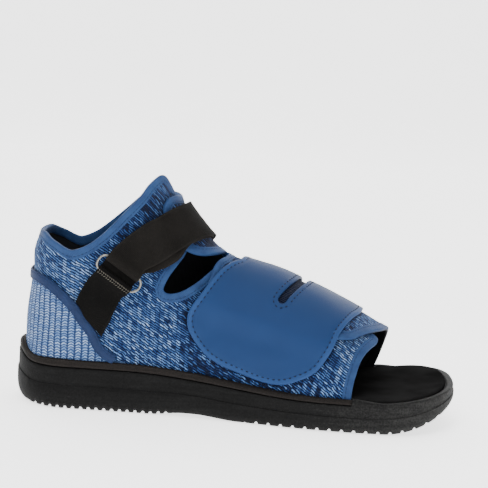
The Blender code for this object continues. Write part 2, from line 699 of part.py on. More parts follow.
def make_panel():
    outline = walk((*PANEL, PANEL[0]), 0.0065)[:-1]
    middle = walk(PANEL_SLOT, 0.009)
    slot = np.concatenate([slid(middle, SLOT_WIDTH / 2), slid(middle, -SLOT_WIDTH / 2)[::-1]])
    pattern_sheet("closure_panel", outline, panel_lift, lambda p: panel_lift(p) + PANEL_THICKNESS,
                  0.0080, (0.040, 0.100, 0.23), 0.45, holes=[slot])


# Webbing that folds round a bar of the ring

RING_BAR = RING_WIRE / 2 + GAP
EYE = RING_BAR + WEBBING_THICKNESS
CHORD_RISE = 0.0012
RING_REACH = (RING_OPENING + RING_WIRE) / 2


def webbing_lift(around):
    """Underside of the strap: over the ankle flap, and down onto the lateral quarter behind its edge."""
    over_flap = flap_lift(around + 360) + WALL + BINDING_BULGE + 2 * GAP
    over_quarter = WALL + GAP
    return over_flap + (over_quarter - over_flap) * smoothstep(42, 56, around)


def ring_frame():
    """Middle of the ring, and its directions along the bars, from the tab's bar to the strap's, and outward."""
    bars = []
    for upper_around, upper_row, lower_around, lower_row in (STRAP_EDGES[0], TAB_EDGES[0]):
        bars.append(lifted(np.array([upper_around, lower_around]), np.array([upper_row, lower_row]),
                           WALL + GAP + CHORD_RISE + EYE))
    strap, tab = bars
    length = strap[1] + tab[1] - strap[0] - tab[0]
    length /= np.linalg.norm(length)
    across = strap.mean(0) - tab.mean(0)
    across -= length * (across @ length)
    across /= np.linalg.norm(across)
    return (strap.mean(0) + tab.mean(0)) / 2, length, across, np.cross(length, across)


def folded_band(name, edges, away, under_length, over_length, colour):
    """Webbing from the far end of its lower layer, round a ring bar at length 0, and back on top of itself."""
    centre, bar_way, across_ring, outward = ring_frame()
    bar = centre + across_ring * away * RING_REACH
    table = np.array(edges, float)
    middle = lifted((table[:, 0] + table[:, 2]) / 2, (table[:, 1] + table[:, 3]) / 2, WALL)
    reach = np.r_[0, np.cumsum(np.linalg.norm(np.diff(middle, axis=0), axis=1))]
    under_length = min(under_length, reach[-1])
    over_length = min(over_length, reach[-1])
    thickness = WEBBING_THICKNESS
    close = 0.008

    def slope(s):
        return (EYE - GAP / 2 - thickness) * (1 - smoothstep(0, close, s))

    path = []
    for s in np.arange(under_length, close / 2, -0.0065):
        path.append((s, 0.0, s, thickness))
    for angle in np.radians(np.linspace(-90, -270, 9)):
        path.append((EYE * math.cos(angle), EYE + EYE * math.sin(angle),
                     RING_BAR * math.cos(angle), EYE + RING_BAR * math.sin(angle)))
    for s in [*np.linspace(close / 3, close, 3), *np.arange(close, over_length, 0.0065)[1:], over_length]:
        base = thickness + GAP + slope(s) * 2
        path.append((s, base + thickness, s, base))

    def at(length, share, height):
        taut = 1 - smoothstep(0.3 * WEBBING_WIDTH, 0.9 * WEBBING_WIDTH, length)
        straight = (bar + bar_way * (share - 0.5) * WEBBING_WIDTH + across_ring * away * length
                    + outward * (height - EYE))
        row = np.interp(max(length, 0), reach, np.arange(len(table)))
        edge = smooth_rows(table, row)
        around = edge[0] + (edge[2] - edge[0]) * share
        there = edge[1] + (edge[3] - edge[1]) * share
        return straight * taut + lifted(around, there, webbing_lift(around) + height) * (1 - taut)

    shares = np.linspace(0, 1, 4)
    rings = []
    for outer_s, outer_h, inner_s, inner_h in path:
        ring = [at(outer_s, share, outer_h) for share in shares]
        ring += [at(inner_s, share, inner_h) for share in shares[::-1]]
        rings.append(np.array(ring))
    return build(name, *loft(rings), colour, 0.85)


def make_ring():
    """Wire loop with two long bars and round ends; the bars lie in the folds of tab and strap."""
    centre, length, across, normal = ring_frame()
    half = WEBBING_WIDTH / 2 + 2 * GAP
    path = []
    for start, sign in ((90, 1), (-90, -1)):
        for angle in np.radians(np.linspace(start, start - 180, 9)):
            spot = (length * (sign * half + RING_REACH * math.cos(angle))
                    + across * RING_REACH * math.sin(angle))
            path.append((centre + spot, length * math.cos(angle) + across * math.sin(angle)))
    turn = np.radians(np.arange(0, 360, 45))
    rings = [spot + RING_WIRE / 2 * (np.outer(np.cos(turn), way) + np.outer(np.sin(turn), normal))
             for spot, way in path]
    build("strap_ring", *loft(rings, closed=True), (0.45, 0.45, 0.46), 0.3, 1.0)


def make_webbing():
    make_ring()
    folded_band("strap_tab", TAB_EDGES, -1, 1.0, 1.0, BLACK_WEBBING)
    folded_band("ankle_strap", STRAP_EDGES, 1, 1.0, 0.105, BLACK_WEBBING)


def main():
    for item in list(bpy.data.objects):
        bpy.data.objects.remove(item, do_unlink=True)
    make_outsole()
    make_rand()
    make_insole()
    make_upper()
    make_bindings()
    make_counter_tape()
    make_panel()
    make_webbing()


main()
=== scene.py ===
# %% [markdown]
# # An open-toe post-operative shoe
#
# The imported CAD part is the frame: its solids fix every size. This lesson dresses them as a maker would, piece by
# piece, from the sole up to the buckle. Lengths are metres, +X points to the toe, +Y to the medial side, +Z up.
# One idea carries the whole upper: every soft piece is drawn as a pattern on the last, the wooden foot a shoe is
# made over, so a tape or a strap stays on the knit under it by itself.

# %% The frame and Blender's modules
import math
from functools import partialmethod

import bmesh
import bpy
import numpy as np
from mathutils import Matrix, Vector
from mathutils.geometry import delaunay_2d_cdt
from mathutils.kdtree import KDTree


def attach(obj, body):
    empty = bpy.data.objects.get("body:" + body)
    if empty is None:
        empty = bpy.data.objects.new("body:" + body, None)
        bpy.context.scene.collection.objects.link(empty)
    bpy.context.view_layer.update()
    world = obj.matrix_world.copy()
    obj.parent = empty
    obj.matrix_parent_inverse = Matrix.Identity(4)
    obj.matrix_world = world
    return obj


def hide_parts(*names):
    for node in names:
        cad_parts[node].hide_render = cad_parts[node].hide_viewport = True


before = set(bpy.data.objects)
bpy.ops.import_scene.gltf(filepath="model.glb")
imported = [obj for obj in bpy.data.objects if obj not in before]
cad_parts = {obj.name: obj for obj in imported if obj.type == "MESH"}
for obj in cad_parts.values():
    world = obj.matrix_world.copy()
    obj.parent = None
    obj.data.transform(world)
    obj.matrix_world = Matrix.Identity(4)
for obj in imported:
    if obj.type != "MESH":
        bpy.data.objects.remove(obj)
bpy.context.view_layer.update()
print("CAD nodes:", ", ".join(sorted(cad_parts)))

# %% [markdown]
# ## The camera
# The photograph looks straight at the lateral side with a long lens, from a little above, and the picture is
# rolled a few degrees. A camera could be aimed by eye; here its distance, height and roll were fitted to the
# corners of the sole, because a fitted camera lets render and photograph be compared place by place.

# %% Camera
CAMERA_TARGET = Vector((0.0902, 0.0, 0.1102))
CAMERA_DISTANCE = 1.072
CAMERA_ELEVATION = math.radians(8.9)
CAMERA_ROLL = math.radians(3.5)

forward = Vector((0, math.cos(CAMERA_ELEVATION), -math.sin(CAMERA_ELEVATION)))
sideways = Vector((1, 0, 0))
upward = sideways.cross(forward)
right = sideways * math.cos(CAMERA_ROLL) + upward * math.sin(CAMERA_ROLL)
above = upward * math.cos(CAMERA_ROLL) - sideways * math.sin(CAMERA_ROLL)
camera = bpy.data.objects.new("camera", bpy.data.cameras.new("camera"))
bpy.context.scene.collection.objects.link(camera)
camera.data.lens = 120
camera.data.sensor_width = 36
turn = Matrix((right, above, -forward)).transposed().to_4x4()
camera.matrix_world = Matrix.Translation(CAMERA_TARGET - forward * CAMERA_DISTANCE) @ turn
bpy.context.scene.camera = camera
print("camera stands", round(CAMERA_DISTANCE * 1000), "mm from the shoe")

# %% [markdown]
# ## Finishes as arithmetic
# Weaves and knits are easier to write as sums than as a web of boxes. A small class wraps a socket, so that
# `1 - groove * 0.4` adds its Math nodes by itself, and one method makes any other node.

# %% A socket that can be added and multiplied


class Wire:
    """A node's output that takes part in Python arithmetic."""

    def __init__(self, finish, socket):
        self.finish = finish
        self.socket = socket

    def math(self, operation, *others):
        return self.finish.node("Math", {"operation": operation}, dict(enumerate((self, *others))))

    def __rsub__(self, other):
        return self.finish.node("Math", {"operation": "SUBTRACT"}, {0: other, 1: self})

    __add__ = __radd__ = partialmethod(math, "ADD")
    __sub__ = partialmethod(math, "SUBTRACT")
    __mul__ = __rmul__ = partialmethod(math, "MULTIPLY")
    __truediv__ = partialmethod(math, "DIVIDE")
    __abs__ = partialmethod(math, "ABSOLUTE")


# %% A material that makes its own nodes


class Finish:
    """A material, with one method that makes any of its nodes."""

    def __init__(self, name, roughness=0.8, shine=0.2, **constants):
        self.material = bpy.data.materials.new(name)
        self.material.use_nodes = True
        self.tree = self.material.node_tree
        self.shader = self.tree.nodes["Principled BSDF"]
        self.shader.inputs["Roughness"].default_value = roughness
        self.shader.inputs["Specular IOR Level"].default_value = shine
        for socket, value in constants.items():
            self.shader.inputs[socket.replace("_", " ").title()].default_value = value

    def node(self, kind, settings=None, inputs=None, output=0):
        made = self.tree.nodes.new("ShaderNode" + kind)
        for key, value in (settings or {}).items():
            if key == "stops":
                ramp = made.color_ramp
                while len(ramp.elements) < len(value):
                    ramp.elements.new(1)
                for element, (position, colour) in zip(ramp.elements, value):
                    element.position = position
                    element.color = (*colour, 1)
            else:
                setattr(made, key, value)
        for key, value in (inputs or {}).items():
            self.feed(made.inputs[key], value)
        return Wire(self, made.outputs[output])

    def feed(self, socket, value):
        if isinstance(value, Wire):
            self.tree.links.new(value.socket, socket)
        else:
            socket.default_value = value

    def stored(self, name):
        """A number kept at each vertex."""
        return self.node("Attribute", {"attribute_name": name}, output=2)

    def thread(self):
        """The two distances along the cloth that each vertex keeps, in millimetres."""
        place = self.node("Attribute", {"attribute_name": "thread"}, output=1)
        return (self.node("SeparateXYZ", inputs={0: place}), self.node("SeparateXYZ", inputs={0: place}, output=1))

    def noise(self, size, detail=2.0, stretch=(1, 1, 1)):
        """Soft noise about 0.5, with grains of a size in metres."""
        place = self.node("TexCoord", output=3)
        place = self.node("VectorMath", {"operation": "MULTIPLY"}, {0: place, 1: stretch})
        return self.node("TexNoise", inputs={"Vector": place, "Scale": 1 / size, "Detail": detail})

    def chance(self, *cell):
        """A fixed random number for each whole-numbered cell."""
        place = self.node("CombineXYZ", inputs=dict(enumerate(cell)))
        return self.node("TexWhiteNoise", {"noise_dimensions": '3D'}, {0: place})

    def blend(self, share, low, high):
        """A colour between two colours."""
        low, high = ((*c, 1) if isinstance(c, tuple) else c for c in (low, high))
        return self.node("Mix", {"data_type": 'RGBA'}, {0: share, 6: low, 7: high}, output=2)

    def ramp(self, share, *stops):
        return self.node("ValToRGB", {"stops": stops}, {0: share})

    def colour(self, value):
        self.feed(self.shader.inputs["Base Color"], value)

    def shades(self, share, low, dark, high, light):
        """The base colour goes from dark to light while share goes from low to high."""
        self.colour(self.ramp(share, (low, srgb(dark)), (high, srgb(light))))

    def relief(self, height, distance, strength=1.0):
        """Bump from a height of 0 to 1 that stands for a real distance in metres."""
        bump = self.node("Bump", inputs={"Strength": strength, "Distance": distance, "Height": height})
        self.feed(self.shader.inputs["Normal"], bump)


# %% Helpers for the sums, and paint-card colours
TURN = 2 * math.pi


def clipped(wire):
    return wire.math("MAXIMUM", 0.0).math("MINIMUM", 1.0)


def wave(angle):
    """A sine wave between 0 and 1."""
    return angle.math("SINE") * 0.5 + 0.5


def srgb(text):
    """A colour written as on a paint card, in the linear values that shaders take."""
    parts = [int(text[k:k + 2], 16) / 255 for k in (0, 2, 4)]
    return tuple(p / 12.92 if p <= 0.04045 else ((p + 0.055) / 1.055) ** 2.4 for p in parts)


print("mid blue is", [round(v, 3) for v in srgb("4a6ea8")])

# %% [markdown]
# ## The last and its pattern grid
# A shoe upper is flat cloth pulled over a last. The last here is a table of fifteen sections, the same as in the
# CAD source. A place on it is two numbers: `around`, an angle that is 0 on the ridge, 90 on the lateral side and
# 270 on the medial side, and `row`, the section. Modelling each piece freely would need endless fitting; drawn on
# this grid, a piece only needs its outline and its height over the last.

# %% Sizes shared with the CAD solids
SOLE_LENGTH = 0.290
HEEL_WIDTH = 0.072
BALL_WIDTH = 0.104
INSTEP_HEIGHT = 0.0955
ANKLE_HEIGHT = 0.1545
ORIGIN = np.array((0.19 * SOLE_LENGTH, 0, 0))
GAP = 0.0003
WALL = 0.0024
BULGE = 0.00035
BINDING_WIDTH = 0.0058
FLAP_LIFT = WALL + 2 * BULGE + GAP

LAST = (
    (0.862, 0.518, 0.848, 0.02, 1.00, 0.890, 0.517, 0.22, 4.0, 2.3),
    (0.800, 0.618, 0.780, 0.02, 1.00, 0.915, 0.516, 0.24, 4.0, 2.3),
    (0.690, 0.779, 0.685, 0.02, 0.92, 0.872, 0.529, 0.26, 4.0, 2.3),
    (0.590, 0.903, 0.590, 0.02, 0.62, 0.845, 0.532, 0.28, 4.0, 2.3),
    (0.512, 0.968, 0.500, 0.02, 0.34, 0.820, 0.536, 0.32, 4.0, 2.3),
    (0.455, 1.050, 0.385, 0.02, 0.08, 0.855, 0.527, 0.36, 3.8, 2.3),
    (0.412, 1.220, 0.250, 0.02, 0.00, 0.875, 0.518, 0.40, 3.6, 2.3),
    (0.380, 1.390, 0.110, 0.03, 0.00, 0.875, 0.511, 0.44, 3.3, 2.3),
    (0.358, 1.520, 0.034, 0.16, 0.00, 0.875, 0.510, 0.48, 2.9, 2.3),
    (0.344, 1.620, 0.028, 0.38, 0.00, 0.875, 0.507, 0.50, 2.6, 2.3),
    (0.334, 1.730, 0.028, 0.60, 0.00, 0.875, 0.506, 0.50, 2.5, 2.3),
    (0.326, 1.840, 0.036, 0.86, 0.00, 0.870, 0.505, 0.50, 2.4, 2.3),
    (0.319, 1.970, 0.036, 1.05, 0.00, 0.868, 0.505, 0.50, 2.4, 2.2),
    (0.314, 2.130, 0.050, 1.29, 0.00, 0.865, 0.505, 0.50, 2.3, 2.2),
    (0.312, 2.280, 0.060, 1.49, 0.00, 0.865, 0.505, 0.50, 2.3, 2.2),
)

# %% Curves, steps, directions and distances


def smooth_rows(table, t):
    """Rows of a table at fractional row numbers, on the smooth curve that passes through every row."""
    table = np.asarray(table, float)
    last = len(table) - 1
    t = np.clip(np.asarray(t, float), 0, last)
    i = np.minimum(t.astype(int), last - 1)
    f = (t - i)[..., None]
    before, here, there, after = (table[np.clip(i + k, 0, last)] for k in (-1, 0, 1, 2))
    return here + 0.5 * f * (there - before + f * (2 * before - 5 * here + 4 * there - after
                                                   + f * (3 * (here - there) + after - before)))


def smoothstep(low, high, value):
    share = np.clip((value - low) / (high - low), 0, 1)
    return share * share * (3 - 2 * share)


def unit(vectors):
    return vectors / np.linalg.norm(vectors, axis=-1, keepdims=True)


def reach_of(places):
    """Distance along a line from its first place to each of its places."""
    return np.r_[0, np.cumsum(np.linalg.norm(np.diff(places, axis=0), axis=1))]


print("halfway through a smooth step from 0 to 1:", smoothstep(0, 1, 0.5))

# %% The last


def last_rows():
    rows = np.array(LAST)
    rows[:, (0, 2)] *= SOLE_LENGTH
    for column in (1, 3):
        share = rows[:, column]
        rows[:, column] = (np.minimum(share, 1) * INSTEP_HEIGHT
                           + np.maximum(share - 1, 0) * (ANKLE_HEIGHT - INSTEP_HEIGHT))
    rows[:, 4] = (HEEL_WIDTH + (BALL_WIDTH - HEEL_WIDTH) * rows[:, 4]) * rows[:, 5]
    return rows


LAST_ROWS = last_rows()
LAST_END = len(LAST_ROWS) - 1


def skin(points):
    """Points of the last for pattern points (around, row)."""
    around, row = np.moveaxis(np.asarray(points, float), -1, 0)
    ridge_x, ridge_z, base_x, base_z, width, _, lateral, widest, low, high = np.moveaxis(
        smooth_rows(LAST_ROWS, row), -1, 0)
    c = np.cos(np.radians(around))
    s = np.sin(np.radians(around))
    power = 2 / np.where(c > 0, high, low)
    up = np.sign(c) * np.abs(c) ** power
    across = -np.sign(s) * np.abs(s) ** power
    share = widest + np.where(c > 0, 1 - widest, widest) * up
    half = width * np.where(s > 0, lateral, 1 - lateral)
    return np.stack([base_x + (ridge_x - base_x) * share, half * across, base_z + (ridge_z - base_z) * share], -1)


def tangents(points, step=0.05):
    """Changes of the skin's point for a degree around and for a row."""
    turned = np.array([step, 0.0])
    by_degree = (skin(points + turned) - skin(points - turned)) / (2 * step)
    back, ahead = points.copy(), points.copy()
    back[..., 1] = np.maximum(points[..., 1] - step, 0)
    ahead[..., 1] = np.minimum(points[..., 1] + step, LAST_END)
    by_row = (skin(ahead) - skin(back)) / (ahead - back)[..., 1:]
    return by_degree, by_row


def outward(points):
    by_degree, by_row = tangents(points)
    return unit(np.cross(by_row, by_degree))


print("last runs from", np.round(skin(np.array([[0.0, 0.0]]))[0] * 1000, 1), "at the toe, in mm")

# %% [markdown]
# ## Creases
# Worn cloth is never a perfect shell. The few folds that matter are listed in one table, in the shoe's own sizes, and
# every soft piece reads them through the same function. A noise could crumple each piece, but then tape and knit
# would part; here they crease together.

# %% Creases: centre x and z, side, direction in degrees, length, width, depth
CREASES = (
    (0.098, 0.064, -1, 60, 0.022, 0.0050, 0.0010),
    (0.118, 0.050, -1, 35, 0.020, 0.0060, 0.0007),
    (0.034, 0.101, -1, 20, 0.012, 0.0060, 0.0006),
    (0.024, 0.085, -1, -30, 0.016, 0.0060, 0.0006),
    (0.238, 0.036, -1, 70, 0.012, 0.0045, 0.0006),
    (0.172, 0.036, -1, 10, 0.030, 0.0060, 0.0005),
    (0.110, 0.062, 1, 40, 0.026, 0.0060, 0.0011),
    (0.132, 0.050, 1, 25, 0.024, 0.0070, 0.0008),
    (0.042, 0.088, 1, 15, 0.022, 0.0070, 0.0009),
    (0.205, 0.045, 1, 15, 0.026, 0.0060, 0.0007),
    (0.085, 0.040, 1, -10, 0.026, 0.0080, 0.0006),
)


def creased(places):
    """How far the cloth sinks or swells at places on the last."""
    depth = np.zeros(places.shape[:-1])
    for x, z, side, angle, length, width, deep in CREASES:
        c, s = math.cos(math.radians(angle)), math.sin(math.radians(angle))
        ahead, up = places[..., 0] - x, places[..., 2] - z
        along = ahead * c + up * s
        over = up * c - ahead * s + 0.12 * width * np.sin(along / length * 3)
        fold = np.exp(-(over / width) ** 2) - 0.5 * np.exp(-((np.abs(over) - 1.7 * width) / width) ** 2)
        same_side = smoothstep(-0.004, 0.012, places[..., 1] * side)
        depth -= deep * fold * np.exp(-(along / length) ** 2) * same_side
    return depth


def bare(points, lift):
    """Points at a height over the last, without creases, for pieces that something holds straight."""
    return skin(points) + outward(points) * lift


def lifted(points, lift):
    """Points at a height over the last, along its outward normal, with the creases."""
    places = skin(points)
    return places + outward(points) * (np.asarray(lift, float) + creased(places))[..., None]


print(len(CREASES), "creases, the deepest", max(row[-1] for row in CREASES) * 1000, "mm")

# %% [markdown]
# ## Lines on the pattern
# A tape or a seam runs beside an edge at an even distance. Adding a number to its angles would not give that, for a
# degree is longer at the instep than at the heel, so a line is moved sideways in metres over the skin.

# %% Pattern lines: sideways shift and even spacing


def slid(points, shift):
    """Pattern points moved over the skin by shift, to the right of their path."""
    by_degree, by_row = tangents(points)
    ahead = np.roll(points, -1, 0)
    behind = np.roll(points, 1, 0)
    if np.linalg.norm(skin(points[:1]) - skin(points[-1:])) > 0.004:
        ahead[-1] = points[-1]
        behind[0] = points[0]
    way = ahead - behind
    along = unit(by_degree * way[:, :1] + by_row * way[:, 1:])
    side = np.cross(along, outward(points)) * np.reshape(shift, (-1, 1))
    a, b, c = ((p * q).sum(1) for p, q in ((by_degree, by_degree), (by_degree, by_row), (by_row, by_row)))
    d, e = (side * by_degree).sum(1), (side * by_row).sum(1)
    found = np.stack([c * d - b * e, a * e - b * d], 1) / (a * c - b * b)[:, None]
    return points + found


def spaced(line, spacing):
    """The same line with points an even distance apart on the skin."""
    reach = reach_of(skin(line))
    stops = np.linspace(0, reach[-1], max(2, int(round(reach[-1] / spacing)) + 1))
    return np.stack([np.interp(stops, reach, line[:, k]) for k in (0, 1)], 1)


def walk(table, spacing):
    """A smooth pattern line through the table's points."""
    return spaced(smooth_rows(table, np.linspace(0, len(table) - 1, 40 * len(table))), spacing)


print("a line of 40 degrees round the instep has", len(walk(((60, 6), (100, 6)), 0.002)), "points 2 mm apart")

# %% [markdown]
# ## Turning outlines into cloth
# Cloth needs an even mesh inside any outline. Extruding a flat polygon would leave long thin faces that crease
# badly, so the outline is triangulated with a grid of points inside it, and both faces of the cloth are lifted
# copies of that one flat mesh.

# %% Triangles inside an outline


def inside(points, outline):
    """Which plan points lie inside a closed outline."""
    result = np.zeros(len(points), bool)
    x, y = points[:, 0], points[:, 1]
    for (ax, ay), (bx, by) in zip(outline, np.roll(outline, -1, 0)):
        if ay != by:
            result ^= ((ay > y) != (by > y)) & (x < ax + (y - ay) * (bx - ax) / (by - ay))
    return result


def nearest(points, places, limit=1.0):
    """Distance of each point from the nearest of some places, not looked at past a limit."""
    points, places = (np.column_stack([p, np.zeros((len(p), 3 - p.shape[1]))]) for p in (points, places))
    tree = KDTree(len(places))
    for k, place in enumerate(places):
        tree.insert(place, k)
    tree.balance()
    return np.minimum([tree.find(point)[2] for point in points], limit)


# Metres for a degree and for a row, near enough everywhere for triangles of an even size.
PATTERN_SCALE = np.array([math.radians(1) * HEEL_WIDTH / 2, 0.062 * SOLE_LENGTH])


def triangulated(outline, spacing, holes=(), lines=()):
    """Pattern points and triangles of an outline, with points about `spacing` apart inside it."""
    loops = [loop * PATTERN_SCALE for loop in (outline, *holes)]
    lines = [line * PATTERN_SCALE for line in lines]
    points = np.concatenate([*loops, *lines])
    edges = []
    start = 0
    for loop in loops:
        edges += [(start + k, start + (k + 1) % len(loop)) for k in range(len(loop))]
        start += len(loop)
    low, high = loops[0].min(0), loops[0].max(0)
    rows = np.arange(low[1], high[1], spacing * 0.87)
    columns = np.arange(low[0], high[0], spacing)
    grid = np.stack(np.meshgrid(columns, rows), -1)
    grid[1::2, :, 0] += spacing / 2
    grid = grid.reshape(-1, 2)
    grid = grid[inside(grid, loops[0])]
    grid = grid[nearest(grid, points, spacing) > 0.6 * spacing]
    every = np.concatenate([points, grid])
    found = delaunay_2d_cdt([tuple(p) for p in every], edges, [], 0, 1e-8)
    corners = np.array([tuple(p) for p in found[0]])
    triangles = np.array(found[2])
    middle = corners[triangles].mean(1)
    keep = inside(middle, loops[0])
    for hole in loops[1:]:
        keep &= ~inside(middle, hole)
    return corners / PATTERN_SCALE, triangles[keep]


square = np.array([(0, 0), (40, 0), (40, 1), (0, 1)], float)
print("a patch of 40 degrees by a row has", len(triangulated(square, 0.002)[1]), "triangles")

# %% Pieces of the shoe


def piece(name, mesh, finish, stands_for, sharp=50):
    """A finished piece of the shoe that rides on its one body and stands for CAD nodes."""
    vertices, faces, *stored = mesh
    data = bpy.data.meshes.new(name)
    data.from_pydata((np.asarray(vertices) - ORIGIN).tolist(), [], [tuple(int(k) for k in f) for f in faces])
    for key, values in (stored[0] if stored else {}).items():
        values = np.asarray(values, np.float32)
        kind, field = ('FLOAT_VECTOR', "vector") if values.ndim == 2 else ('FLOAT', "value")
        data.attributes.new(key, kind, 'POINT').data.foreach_set(field, values.ravel())
    part = bmesh.new()
    part.from_mesh(data)
    bmesh.ops.recalc_face_normals(part, faces=part.faces)
    part.to_mesh(data)
    part.free()
    data.shade_smooth()
    data.set_sharp_from_angle(angle=math.radians(sharp))
    data.materials.append(finish.material)
    made = bpy.data.objects.new(name, data)
    bpy.context.scene.collection.objects.link(made)
    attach(made, "root")
    if stands_for:
        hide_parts(*stands_for)
    print(f"{name}: {len(data.polygons)} faces")


# %% Slabs, lofts and bands


def slab(triangles, low, high, **stored):
    """A cloth between two lifted copies of its pattern, with the values that each pattern point keeps."""
    count = len(low)
    keys = {(a, b) for t in triangles.tolist() for a, b in zip(t, t[1:] + t[:1])}
    rim = [edge for edge in sorted(keys) if (edge[1], edge[0]) not in keys]
    faces = (triangles + count).tolist() + triangles[:, ::-1].tolist()
    faces += [(b + count, a + count, a, b) for a, b in rim]
    used = np.zeros(2 * count, bool)
    used[np.concatenate([triangles.ravel(), triangles.ravel() + count])] = True
    number = np.cumsum(used) - 1
    faces = [[number[k] for k in face] for face in faces]
    kept = {key: np.concatenate([values, values])[used] for key, values in stored.items()}
    return np.concatenate([low, high])[used], faces, kept


def rolled_edge(off, width):
    """Share of a cloth's full thickness at a distance from its rolled edge."""
    return np.sqrt(1 - np.clip(1 - off / width, 0, 1) ** 2)


def loft(rings, closed=False, caps=True):
    """A tube through equal rings, with fans over its ends."""
    count = len(rings[0])
    faces = []
    for r in range(len(rings) if closed else len(rings) - 1):
        here, there = r * count, (r + 1) % len(rings) * count
        faces += [(here + k, here + (k + 1) % count, there + (k + 1) % count, there + k) for k in range(count)]
    vertices = np.concatenate(rings)
    if caps and not closed:
        for start, ring in ((0, rings[0]), ((len(rings) - 1) * count, rings[-1])):
            faces += [(start + k, start + (k + 1) % count, len(vertices)) for k in range(count)]
            vertices = np.concatenate([vertices, ring.mean(0)[None]])
    return vertices, faces


def woven(mesh, along, across):
    """A lofted band whose rings keep their places along and across it, in millimetres."""
    thread = np.stack([np.repeat(along, len(across)), np.tile(across, len(along)),
                       np.zeros(len(along) * len(across))], 1) * 1000
    return (*mesh, {"thread": np.concatenate([thread, thread[[0, -1]]])})


# %% [markdown]
# ## The sole's levels and outline
# The sole is one moulded block: a plan outline, a platform on top and an underside that is flat under heel and ball,
# hollow under the arch and rises at the toe. These are the CAD solid's own formulas, so the finer block made from
# them lies where the solid lies.

# %% Levels of the sole along x
HEEL_THICKNESS = 0.0279
FOREFOOT_THICKNESS = 0.0185
RIM_HEIGHT = 0.0012
RIM_WIDTH = 0.0050
SIDE_STEP = 0.0006
GROOVE = 0.0009
LUG_DEPTH = 0.0016
LUG_PITCH = 0.0078
SOLE_WIDTHS = np.array((
    (0.00, 0.00, 0.500), (0.12, 0.00, 0.507), (0.21, 0.00, 0.514), (0.34, 0.02, 0.526), (0.48, 0.28, 0.530),
    (0.62, 0.74, 0.526), (0.74, 1.00, 0.519), (0.84, 1.03, 0.514), (1.00, 1.00, 0.510)))


def forefoot_share(x):
    return smoothstep(0.24 * SOLE_LENGTH, 0.69 * SOLE_LENGTH, x)


def platform(x):
    level = HEEL_THICKNESS + (FOREFOOT_THICKNESS - HEEL_THICKNESS) * forefoot_share(x)
    toe = np.clip((x / SOLE_LENGTH - 0.76) / 0.24, 0, 1)
    return level + 0.0065 * np.exp(-(x / SOLE_LENGTH / 0.026) ** 2) + 0.0090 * toe ** 1.8


def rand_height(x):
    return 0.0054 - 0.0014 * forefoot_share(x) + 0.0030 * np.exp(-(x / SOLE_LENGTH / 0.026) ** 2)


def sole_bottom(x):
    share = x / SOLE_LENGTH
    arch = smoothstep(0.31, 0.39, share) * (1 - smoothstep(0.41, 0.51, share))
    toe = np.clip((share - 0.83) / 0.17, 0, 1)
    return 0.0030 * np.clip(1 - share / 0.06, 0, 1) ** 2 + 0.0022 * arch + 0.0180 * toe ** 1.9


def sole_half(x, medial):
    row = np.interp(x / SOLE_LENGTH, SOLE_WIDTHS[:, 0], np.arange(len(SOLE_WIDTHS)))
    _, ball, lateral = np.moveaxis(smooth_rows(SOLE_WIDTHS, row), -1, 0)
    width = HEEL_WIDTH + (BALL_WIDTH - HEEL_WIDTH) * ball
    heel = np.clip(1 - x / 0.036, 0, 1)
    toe = np.clip(1 - (SOLE_LENGTH - x) / (0.036 if medial else 0.052), 0, 1)
    return width * (1 - lateral if medial else lateral) * (1 - heel ** 2) ** 0.5 * (1 - toe ** 2.4) ** (1 / 2.4)


def inset_plan(plan, shift):
    """A closed plan outline moved inwards."""
    way = unit(np.roll(plan, -1, 0) - np.roll(plan, 1, 0))
    return plan + np.stack([-way[:, 1], way[:, 0]], 1) * np.reshape(shift, (-1, 1))


def sole_ring(stations, inset):
    """Closed plan outline, along the lateral side to the toe and back along the medial side."""
    lateral = np.stack([stations, -sole_half(stations, False)], 1)
    medial = np.stack([stations, sole_half(stations, True)], 1)[-2:0:-1]
    return inset_plan(np.concatenate([lateral, medial]), inset)


print("platform is", round(float(platform(0.05)) * 1000, 1), "mm up at the heel")

# %% [markdown]
# ## Where the upper meets the sole
# The cloth ends just over the platform. Cutting meshes with each other there would leave ragged edges, so the line
# where the last reaches the platform's level is solved for once, and knit, rand and insole all start from it.

# %% The hem


def solve(low, high, count, error):
    """Bisection for several numbers at once; error is positive at low."""
    low, high = np.full(count, float(low)), np.full(count, float(high))
    for _ in range(40):
        middle = (low + high) / 2
        over = error(middle) > 0
        low, high = np.where(over, middle, low), np.where(over, high, middle)
    return (low + high) / 2


def hem_line(lift, lateral_row, medial_row, rise, counts=(90, 120, 100), turn_row=6.6):
    """Pattern line at `rise(x)` over the platform, from the lateral front round the heel to the medial front."""
    def over(around, row):
        point = bare(np.stack([around, row], -1), lift)
        return point[..., 2] - platform(point[..., 0]) - rise(point[..., 0])

    lateral = np.linspace(lateral_row, turn_row, counts[0])
    lateral_around = solve(60, 179, counts[0], lambda around: over(around, lateral))
    medial = np.linspace(turn_row, medial_row, counts[2])
    medial_around = solve(300, 181, counts[2], lambda around: over(around, medial))
    heel = np.linspace(lateral_around[-1], medial_around[0], counts[1] + 2)[1:-1]
    heel_row = solve(12, 4, counts[1], lambda row: over(heel, row))
    return np.stack([np.r_[lateral_around, heel, medial_around], np.r_[lateral, heel_row, medial]], 1)


# %% [markdown]
# ## The pattern's outlines
# A pattern cutter works from card outlines. Here each edge of the upper and the panel is a short row of points, read
# off the photograph on the grid of angles and sections, and one smooth curve is drawn through each row.

